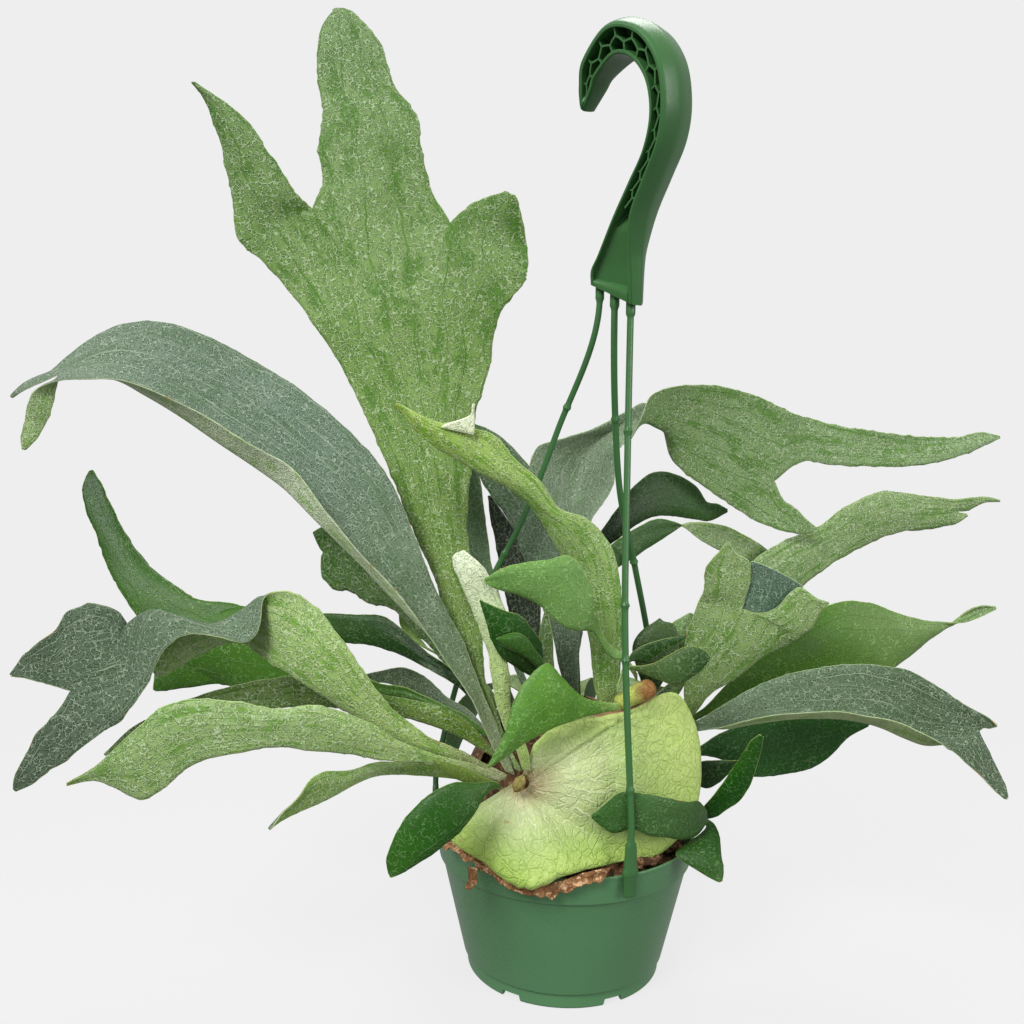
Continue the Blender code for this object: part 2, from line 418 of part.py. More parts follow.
def with_stalk(name, rows, place):
    """The frond's rows, led by rows for the stalk that joins it to the mound."""
    if name in ROOTS and ROOTS[name] is None:
        return rows
    first, second = row_points(rows[0], place), row_points(rows[1], place)
    base, along = middle(first), (middle(second) - middle(first)).normalized()
    root = Vector(ROOTS[name]) if name in ROOTS else mound_root(base)
    reach = (base - root).length
    if reach < STALK_LEAST:
        return rows
    side, wide = (first[-1] - first[0]).normalized(), (first[-1] - first[0]).length
    away = ((base - root).normalized() + Vector((0, 0, 0.5))).normalized()
    out = []
    for k in range(STALK_ROWS):
        t = k / STALK_ROWS
        p = (root * (1 + 2 * t) * (1 - t) ** 2 + away * reach * t * (1 - t) ** 2
             + base * t * t * (3 - 2 * t) + along * reach * t * t * (t - 1))
        half = side * (STALK_WIDTH + (wide - STALK_WIDTH) * t) / 2
        out.append([p - half, p + half])
    return out + rows


def loft(rows, place, cols, camber, first=None):
    """Rows of points for a blade, or for a lobe that starts on the line first."""
    mids = [middle(row_points(row, place)) for row in rows]
    start = mids[0] * 2 - mids[1] if first is None else middle(first)
    grid = [] if first is None else [first]
    for k, row in enumerate(rows):
        before = mids[k - 1] if k else start
        after = mids[min(k + 1, len(rows) - 1)]
        grid.append(across(row, place, cols, camber, after - before))
    return grid


# ---------------------------------------------------------------- object helpers

def material(name, colour, roughness=0.6, metallic=0.0):
    mat = bpy.data.materials.new(name)
    mat.use_nodes = True
    bsdf = mat.node_tree.nodes["Principled BSDF"]
    bsdf.inputs["Base Color"].default_value = colour
    bsdf.inputs["Roughness"].default_value = roughness
    bsdf.inputs["Metallic"].default_value = metallic
    return mat


def add_object(name, data, collection, mat=None):
    obj = bpy.data.objects.new(name, data)
    collection.objects.link(obj)
    if mat is not None:
        data.materials.append(mat)
    return obj


def mesh_object(name, bm, collection, mat=None):
    mesh = bpy.data.meshes.new(name)
    bm.to_mesh(mesh)
    bm.free()
    mesh.shade_smooth()
    mesh.set_sharp_from_angle(angle=SHARP_ANGLE)
    return add_object(name, mesh, collection, mat)


def stitch(bm, grid, cache):
    """Quads between the rows of a grid, sharing points that are already there."""
    verts = []
    for row in grid:
        line = []
        for p in row:
            key = (round(p.x, 4), round(p.y, 4), round(p.z, 4))
            if key not in cache:
                cache[key] = bm.verts.new(metres(p))
            line.append(cache[key])
        verts.append(line)
    for low, high in zip(verts, verts[1:]):
        for i in range(len(low) - 1):
            bm.faces.new((low[i], low[i + 1], high[i + 1], high[i]))


def thicken(obj, millimetres, offset=0.0):
    mod = obj.modifiers.new("Thickness", "SOLIDIFY")
    mod.thickness = millimetres * MM
    mod.offset = offset
    return mod


def frond(entry, place, collection):
    """One frond: a lofted blade with its lobes, given its thickness."""
    name, face, camber, cols, rows, lobes = entry
    bm, cache = bmesh.new(), {}
    rows = with_stalk(name, rows, place)
    grid = loft(rows, place, cols, camber)
    stitch(bm, grid, cache)
    for first, last, lobe_rows in lobes:
        start = grid[-1][first:last + 1]
        stitch(bm, loft(lobe_rows, place, last - first, camber * 0.5, start), cache)
    obj = mesh_object(name, bm, collection, material(name, COLOURS[face], 0.65))
    thicken(obj, BLADE)
    return obj


def turned(name, profile, collection, mat, steps=40):
    """Solid of revolution about the pot's axis from an (r, z) profile in mm."""
    bm = bmesh.new()
    verts = [bm.verts.new(Vector((r, 0, z)) * MM) for r, z in profile]
    for a, b in zip(verts, verts[1:]):
        bm.edges.new((a, b))
    obj = mesh_object(name, bm, collection, mat)
    obj.location = metres((0, 0, 0))
    mod = obj.modifiers.new("Turn", "SCREW")
    mod.steps = mod.render_steps = steps
    mod.use_merge_vertices = True
    mod.merge_threshold = 0.00005
    return obj


def wedge(name, angle, collection):
    """Cutter for one drainage notch in the foot ring."""
    bpy.ops.mesh.primitive_cube_add(size=1)
    obj = bpy.context.object
    obj.name = name
    obj.data.transform(Matrix.Diagonal((24 * MM, 15 * MM, 9 * MM, 1)))
    for v in obj.data.vertices:
        if v.co.z > 0:
            v.co.y *= 0.7
    obj.location = metres((FOOT_RADIUS * math.sin(angle), -FOOT_RADIUS * math.cos(angle), -0.6))
    obj.rotation_euler.z = angle - math.pi / 2
    for other in list(obj.users_collection):
        other.objects.unlink(obj)
    collection.objects.link(obj)
    obj.hide_render = True
    obj.display_type = "WIRE"
    return obj


def cut(obj, cutter, operation="DIFFERENCE"):
    mod = obj.modifiers.new("Cut", "BOOLEAN")
    mod.operation = operation
    mod.object = cutter
    mod.solver = "EXACT"
    return mod


# ---------------------------------------------------------------- pot and filling

def build_pot(collection, cutters):
    mat = material("pot_plastic", COLOURS["plastic"], 0.38)
    profile = [
        (0, FLOOR_Z + WALL), (52, FLOOR_Z + WALL), (55.6, 9.5), (71.2, 66.5), (74.2, POT_HEIGHT - 0.4),
        (74.8, POT_HEIGHT), (RIM_RADIUS - 0.3, POT_HEIGHT), (RIM_RADIUS, POT_HEIGHT - 0.6),
        (RIM_RADIUS - 0.6, POT_HEIGHT - 3), (73.6, 67.2), (72.4, 66.0), (58.4, 8.8), (57.0, 7.8),
        (FOOT_RADIUS + 0.4, 1.0), (FOOT_RADIUS - 0.6, 0), (FOOT_RADIUS - 2.6, 0), (FOOT_RADIUS - 3.2, 1.0),
        (FOOT_RADIUS - 3.0, FLOOR_Z), (0, FLOOR_Z)]
    pot = turned("pot", profile, collection, mat, 48)
    for k in range(NOTCHES):
        cut(pot, wedge("notch_%d" % k, math.radians(27 + 360 / NOTCHES * k), cutters))
    return pot


def build_root_ball(collection):
    mat = material("root_ball", COLOURS["soil"], 0.95)
    profile = [(0, 153), *MOUND, (66, 80), (70.5, 76), (69.0, 66.0), (54, 10.5), (50, 7.2), (0, 7.2)]
    return turned("root_ball", profile, collection, mat, 28)


# ---------------------------------------------------------------- shield fronds

# Margin of the main shield frond, from its left end round the bottom, right and
# top back to the crown: (x, z, y, bulge of the dome on the way there).
SHIELD = [(-70, 80, -52, 5), (-66, 69, -64, 6), (-48, 57, -76, 7), (-33, 45, -82, 7), (-18, 41, -84, 7),
          (2, 50, -81, 7), (30, 58, -63, 4), (60, 66, -44, 12), (78, 94, -24, 20), (79, 128, -18, 20),
          (72, 151, -20, 16), (61, 161.5, -28, 12), (38, 152.5, -44, 8), (18, 148, -50, 6),
          (-4, 142, -55, 4), (-19, 129, -58, 2)]
SHIELD_HUB = (-26, 106, -62)


def shield_grid(rings=5):
    """Rings of points from the crown out to the margin of the main shield."""
    hub_x, hub_z, hub_y = SHIELD_HUB
    grid = []
    for r in range(rings + 1):
        t = 0.0 + r / rings
        row = []
        for k, (x, z, y, bulge) in enumerate(SHIELD):
            turn = math.radians(190 + 250 * k / (len(SHIELD) - 1))
            sx, sz = hub_x + 5 * math.cos(turn), hub_z + 5 * math.sin(turn)
            depth = hub_y + (y - hub_y) * t - bulge * 4 * t * (1 - t)
            row.append(seen(sx + (x - sx) * t, sz + (z - sz) * t, depth))
        grid.append(row)
    return grid


def build_shield(collection):
    bm = bmesh.new()
    stitch(bm, shield_grid(), {})
    obj = mesh_object("shield_frond", bm, collection, material("shield", COLOURS["shield"], 0.55))
    thicken(obj, 1.4, 0.0)
    return obj


def build_back_shield(collection):
    """Older shield that closes the back of the mound."""
    turns = [math.radians(-112 + 200 * k / 14) for k in range(15)]
    grid = [[Vector(((r + SHIELD_CLEAR) * math.sin(a), (r + SHIELD_CLEAR) * math.cos(a), z + SHIELD_CLEAR))
             for a in turns] for r, z in MOUND[::-1]]
    bm = bmesh.new()
    stitch(bm, grid, {})
    obj = mesh_object("shield_frond_back", bm, collection, material("shield_back", COLOURS["dry"], 0.8))
    thicken(obj, 1.4)
    return obj


def build_dry_margin(collection):
    """Papery dead margin that hangs over the rim below the main shield."""
    rows = [[(-73, 66, -48), (-66, 64, -62), (-52, 54, -72), (-41, 48, -76), (-34, 42, -78.5),
             (-20, 37, -80), (-4, 37.5, -80.5), (10, 43, -80), (24, 48, -78.5)],
            [(-69, 70, -46), (-62, 67, -60), (-47, 58, -70), (-38, 53, -74.5), (-31, 47.5, -77.5),
             (-17, 44, -79), (-2, 46, -79.5), (11, 51, -79), (28, 55, -77)]]
    bm = bmesh.new()
    stitch(bm, [[seen(x, z, y) for x, z, y in row] for row in rows], {})
    obj = mesh_object("shield_margin_dry", bm, collection, material("dry_margin", COLOURS["dry"], 0.85))
    thicken(obj, 0.9)
    return obj


def tapered(name, stations, collection, mat, sides=8):
    """Closed loft along stations of (point, half width, half depth, turn in degrees)."""
    bm, rings = bmesh.new(), []
    count = len(stations)
    for k, (p, half_w, half_d, turn) in enumerate(stations):
        a, b = stations[max(k - 1, 0)][0], stations[min(k + 1, count - 1)][0]
        up = (b - a).normalized()
        side = Vector((math.cos(math.radians(turn)), math.sin(math.radians(turn)), 0))
        side = (side - up * side.dot(up)).normalized()
        out = up.cross(side)
        ring = []
        for i in range(sides):
            ang = 2 * math.pi * (i + 0.5) / sides
            place = p + side * half_w * math.cos(ang) + out * half_d * math.sin(ang)
            ring.append(bm.verts.new(metres(place)))
        rings.append(ring)
    for low, high in zip(rings, rings[1:]):
        for i in range(sides):
            j = (i + 1) % sides
            bm.faces.new((low[i], low[j], high[j], high[i]))
    bm.faces.new(rings[0][::-1])
    bm.faces.new(rings[-1])
    bmesh.ops.recalc_face_normals(bm, faces=bm.faces)
    return mesh_object(name, bm, collection, mat)


def build_crown(collection):
    """Bud at the crown, the old brown stalk bases and the cut stem."""
    mat = material("crown", COLOURS["dry"], 0.9)
    tapered("crown_bud", [(seen(-29, 101, -69), 1.5, 1.2, 0), (seen(-28, 104, -70), 3.2, 2.4, 0),
                          (seen(-26.5, 107.5, -70.5), 3.0, 2.2, 0), (seen(-25, 110, -71), 1.0, 0.9, 0)],
            collection, mat)
    tapered("cut_stem", [(seen(29.5, 153.5, -49), 2.4, 2.4, 0), (seen(31, 155, -48.5), 4.2, 4.0, 0),
                         (seen(36, 158, -47), 5.0, 4.6, 0), (seen(43, 161.5, -45), 5.6, 5.0, 0),
                         (seen(49, 164.5, -43), 5.0, 4.4, 0), (seen(50.5, 165, -42.5), 3.6, 3.0, 0)],
            collection, material("cut_stem", COLOURS["dry"], 0.85), 10)


# ---------------------------------------------------------------- hanger

# The hook's band in its own plane, from the tip over the arch to the foot: outer
# s and h, inner s and h, and half of its depth there, in mm.
HOOK_BAND = [
    (-12.5, 102, -11, 99.5, 5), (-10.5, 111, -3, 107.5, 6.5), (-5.5, 122, 2.2, 113, 8),
    (13.5, 133, HANG_S - 2, HANG_H, 11), (31.5, 127.5, 27, 115, 12), (42, 112, 33.7, 104, 12),
    (43.4, 93, 34.2, 89, 12), (38.5, 76, 28.3, 74, 12), (27.8, 60, 17.4, 60.5, 11.6),
    (18, 45.5, 5, 45.5, 11), (11.8, 29.4, -9.5, 29, 7.8), (9.7, 19.6, -16.8, 21.4, 6.2),
    (7, 1.8, -19, 14.3, 5)]
HOOK_STEPS = 21
RIB_STATIONS = range(1, 15, 2)
FOOT_STATIONS = slice(17, 21)
CROWN = 3.0
FLANGE = 2.2
RIB = 2.0
FOOT_RECESS = 2.5


def hook_stations():
    """The band's stations, read from a smooth curve through HOOK_BAND."""
    points = [Vector(p) for p in HOOK_BAND]
    knots = list(range(len(points)))
    return [hermite(points, knots, min(k * knots[-1] / HOOK_STEPS, knots[-1] - 1e-6))
            for k in range(HOOK_STEPS + 1)]


def band_solid(bm, stations, low, high, crown=0.0):
    """Closed band through the stations, from depth low(half) to high(half)."""
    rings = []
    for so, ho, si, hi, half in stations:
        outer, inner = Vector((so, ho)), Vector((si, hi))
        ridge = outer + (outer - inner).normalized() * crown
        corners = [(outer, low(half)), (inner, low(half)), (inner, high(half)), (outer, high(half))]
        if crown:
            corners.append((ridge, 0.0))
        rings.append([bm.verts.new(metres(hook_point(p.x, p.y, t))) for p, t in corners])
    faces = [bm.faces.new(rings[0][::-1]), bm.faces.new(rings[-1])]
    for near, far in zip(rings, rings[1:]):
        for i in range(len(near)):
            j = (i + 1) % len(near)
            faces.append(bm.faces.new((near[i], near[j], far[j], far[i])))
    bmesh.ops.recalc_face_normals(bm, faces=faces)


def within(station, margin):
    """A station drawn in from both of its edges by margin."""
    so, ho, si, hi, half = station
    outer, inner = Vector((so, ho)), Vector((si, hi))
    step = (inner - outer).normalized() * margin
    return (*(outer + step), *(inner - step), half)


def recess_cutter(name, sign, collection):
    """Cells between the ribs on one side of the web, and the shallow one at the foot."""
    bm = bmesh.new()
    stations = hook_stations()
    for k in RIB_STATIONS:
        first, mid, last = stations[k:k + 3]
        share = RIB / (last - first).length
        path = [first + (last - first) * share, mid, last - (last - first) * share]
        band_solid(bm, [within(p, FLANGE) for p in path],
                   lambda half: sign * WEB / 2, lambda half: sign * 20.0)
    band_solid(bm, [within(p, FLANGE) for p in stations[FOOT_STATIONS]],
               lambda half: sign * (half - FOOT_RECESS), lambda half: sign * 20.0)
    cutter = mesh_object(name, bm, collection)
    cutter.hide_render = True
    cutter.display_type = "WIRE"
    return cutter


def build_hook(collection, cutters):
    """Hook with a web, a flange round its edge, and ribbed recesses on both sides."""
    bm = bmesh.new()
    band_solid(bm, hook_stations(), lambda half: -half, lambda half: half, CROWN)
    hook = mesh_object("hanger_hook", bm, collection, material("hook_plastic", COLOURS["plastic"], 0.4))
    cut(hook, recess_cutter("hook_recess_left", 1, cutters))
    cut(hook, recess_cutter("hook_recess_right", -1, cutters))
    return hook


def build_strand(name, s_foot, h_foot, way, angle, collection):
    """One strand from under the hook's foot to its clip outside the pot's rim."""
    radial = Vector((math.sin(angle), -math.cos(angle), 0))
    turn = math.degrees(angle)
    top = hook_point(s_foot, h_foot)
    down = [seen(*p) for p in way]
    clip = radial * (RIM_RADIUS + 2.1)
    knots = [top + Vector((0, 0, -0.4)), top + Vector((0, 0, -7))] + down + [
        clip + Vector((0, 0, POT_HEIGHT + 24))]
    lengths = [0.0]
    for a, b in zip(knots, knots[1:]):
        lengths.append(lengths[-1] + (b - a).length)
    stations = [(knots[0], 2.5, 2.2, turn), (knots[1], 2.3, 2.0, turn)]
    runs = 14
    for i in range(1, runs + 1):
        t = lengths[1] + 1.5 + (lengths[-1] - lengths[1] - 1.5) * i / runs
        stations.append((hermite(knots, lengths, min(t, lengths[-1] - 1e-6)), STRAND, STRAND, turn))
    lift = [(17, 1.9, 1.7), (15, 3.2, 1.7), (6, 3.6, 1.7), (4, 3.7, 1.7), (2.5, 4.6, 1.8), (-1.5, 4.6, 1.8),
            (-3, 3.8, 1.5), (-13, 3.8, 1.4)]
    for height, half_w, half_d in lift:
        stations.append((clip + Vector((0, 0, POT_HEIGHT + height)), half_w, half_d, turn))
    return tapered(name, stations, collection, material(name, COLOURS["plastic"], 0.4))


def build_hanger(collection, cutters):
    build_hook(collection, cutters)
    build_strand("strand_front", 3.0, 2.4, [(32, 300, -59), (33, 200, -68)],
                 math.radians(23), collection)
    build_strand("strand_left", -16.5, 11.8, [(-9, 313, -21), (-30, 258, -15), (-45, 228, -12),
                                             (-63, 172, -6), (-69, 149, 0)],
                 math.radians(-97), collection)
    build_strand("strand_right", -7.0, 7.2, [(24.5, 320, -30), (28, 280, -18), (38, 235, 4),
                                              (47, 192, 22)],
                 math.radians(128), collection)


# ---------------------------------------------------------------- whole part

def main():
    for obj in list(bpy.data.objects):
        bpy.data.objects.remove(obj, do_unlink=True)
    collection = bpy.data.collections.new(COLLECTION)
    cutters = bpy.data.collections.new(CUTTERS)
    bpy.context.scene.collection.children.link(collection)
    bpy.context.scene.collection.children.link(cutters)
    build_pot(collection, cutters)
    build_root_ball(collection)
    build_shield(collection)
    build_back_shield(collection)
    build_dry_margin(collection)
    build_crown(collection)
    build_hanger(collection, cutters)
    for entry in FRONDS:
        frond(entry, seen, collection)
    for entry in BACK_FRONDS:
        frond(entry, plain, collection)


main()
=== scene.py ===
import math
import random

import bmesh
import bpy
from mathutils import Matrix, Vector, noise


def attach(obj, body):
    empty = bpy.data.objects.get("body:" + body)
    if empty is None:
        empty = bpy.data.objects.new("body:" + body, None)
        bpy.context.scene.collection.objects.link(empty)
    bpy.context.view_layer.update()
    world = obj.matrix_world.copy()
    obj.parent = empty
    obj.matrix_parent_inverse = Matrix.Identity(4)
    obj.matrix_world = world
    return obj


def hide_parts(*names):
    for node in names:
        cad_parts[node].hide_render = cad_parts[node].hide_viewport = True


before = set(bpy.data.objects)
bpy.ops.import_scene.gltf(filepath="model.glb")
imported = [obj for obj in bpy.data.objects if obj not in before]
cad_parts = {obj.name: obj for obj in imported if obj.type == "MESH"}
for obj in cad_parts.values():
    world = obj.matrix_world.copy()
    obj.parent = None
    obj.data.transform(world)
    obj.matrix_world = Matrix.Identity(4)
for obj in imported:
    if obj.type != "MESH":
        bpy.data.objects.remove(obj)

# Potted staghorn fern.  The layout is in the pot's own drawing frame, as in the CAD:
# mm, zero at the pot's axis level with its feet, +X right, +Y back, +Z up.
MM = 0.001
# For the bark chips, and for noise_vector, which would draw from the clock without it.
SEED = 11
POT_HEIGHT = 82.0
RIM_RADIUS = 76.0
FOOT_RADIUS = 56.0
NOTCHES = 6
MOUND = [(16, 151), (32, 145), (44, 134), (52, 120), (57, 105), (60, 92)]
MOUND_TOP = (0, 153)
SHIELD_CLEAR = 3.0

# A frond that starts away from the mound gets a stalk.  Its root is the nearest place
# on the mound, sunk in by ROOT_DEPTH, or its place here, as (x, y, z); those of None
# start at the crown, on the shield or on another frond, and have no stalk.
ROOT_DEPTH = 1.0
STALK_LEAST = 6.0
STALK_ROWS = 3
STALK_WIDTH = 4.0
ROOTS = {
    "frond_upright": None, "frond_arch_left": None, "frond_twisted_left": None,
    "frond_low_left": None, "frond_stub_left": None, "frond_front_left": None,
    "frond_front_centre": None, "frond_young": None, "frond_centre_flap": None,
    "frond_narrow_left": None, "frond_across_shield": None, "frond_yellow_edge": None,
    "frond_forked_fold": None,
    "frond_twisted_right": (21, 6, 157), "frond_mid_left": (24, -51, 176),
    "frond_dark_sibling": (36, -36, 179), "frond_small_front": (-17, -44, 150),
    "frond_small_dark": (-8, -36, 152), "frond_pale_back": (44, 3, 147),
    "frond_small_left": (-40, -3, 152),
}

# Hanger, in mm.
HOOK_FOOT = Vector((24.0, -50.0, 378.0))
HOOK_TURN = math.radians(45.0)
HOOK_LEAN = math.radians(12.0)
HANG_S, HANG_H = 18.5, 119.0
STRAND = 1.65
SLEEVE = 2.35
# Each strand: name, its foot on the hook, points of its way, and its clip's turn on the rim.
STRANDS = [
    ("strand_front", 3.0, 2.4, [(32, 300, -59), (33, 200, -68)], 23),
    ("strand_left", -16.5, 11.8, [(-9, 313, -21), (-30, 258, -15), (-45, 228, -12), (-63, 172, -6),
                                  (-69, 149, 0)], -97),
    ("strand_right", -7.0, 7.2, [(24.5, 320, -30), (28, 280, -18), (38, 235, 4), (47, 192, 22)], 128)]

# The hook band from its tip over the arch to its foot: outer s and h, inner s and h,
# and half of its depth there, in mm.
HOOK_BAND = [
    (-12.5, 102, -11, 99.5, 5), (-10.5, 111, -3, 107.5, 6.5), (-5.5, 122, 2.2, 113, 8),
    (13.5, 133, HANG_S - 2, HANG_H, 11), (31.5, 127.5, 27, 115, 12), (42, 112, 33.7, 104, 12),
    (43.4, 93, 34.2, 89, 12), (38.5, 76, 28.3, 74, 12), (27.8, 60, 17.4, 60.5, 11.6),
    (18, 45.5, 5, 45.5, 11), (11.8, 29.4, -9.5, 29, 7.8), (9.7, 19.6, -16.8, 21.4, 6.2),
    (7, 1.8, -19, 14.3, 5)]

# The fronds are laid out on a front elevation: x and z are read on the plane of
# the pot's axis as seen from EYE, and y slides the point along its sight line
# to its own depth, in front of the axis (negative) or behind it (positive).
EYE = Vector((-34.2, -578.4, 310.0))
SENSOR = 36.0
LENS = 35.16
PITCH = 4.3
ROLL = 0.91

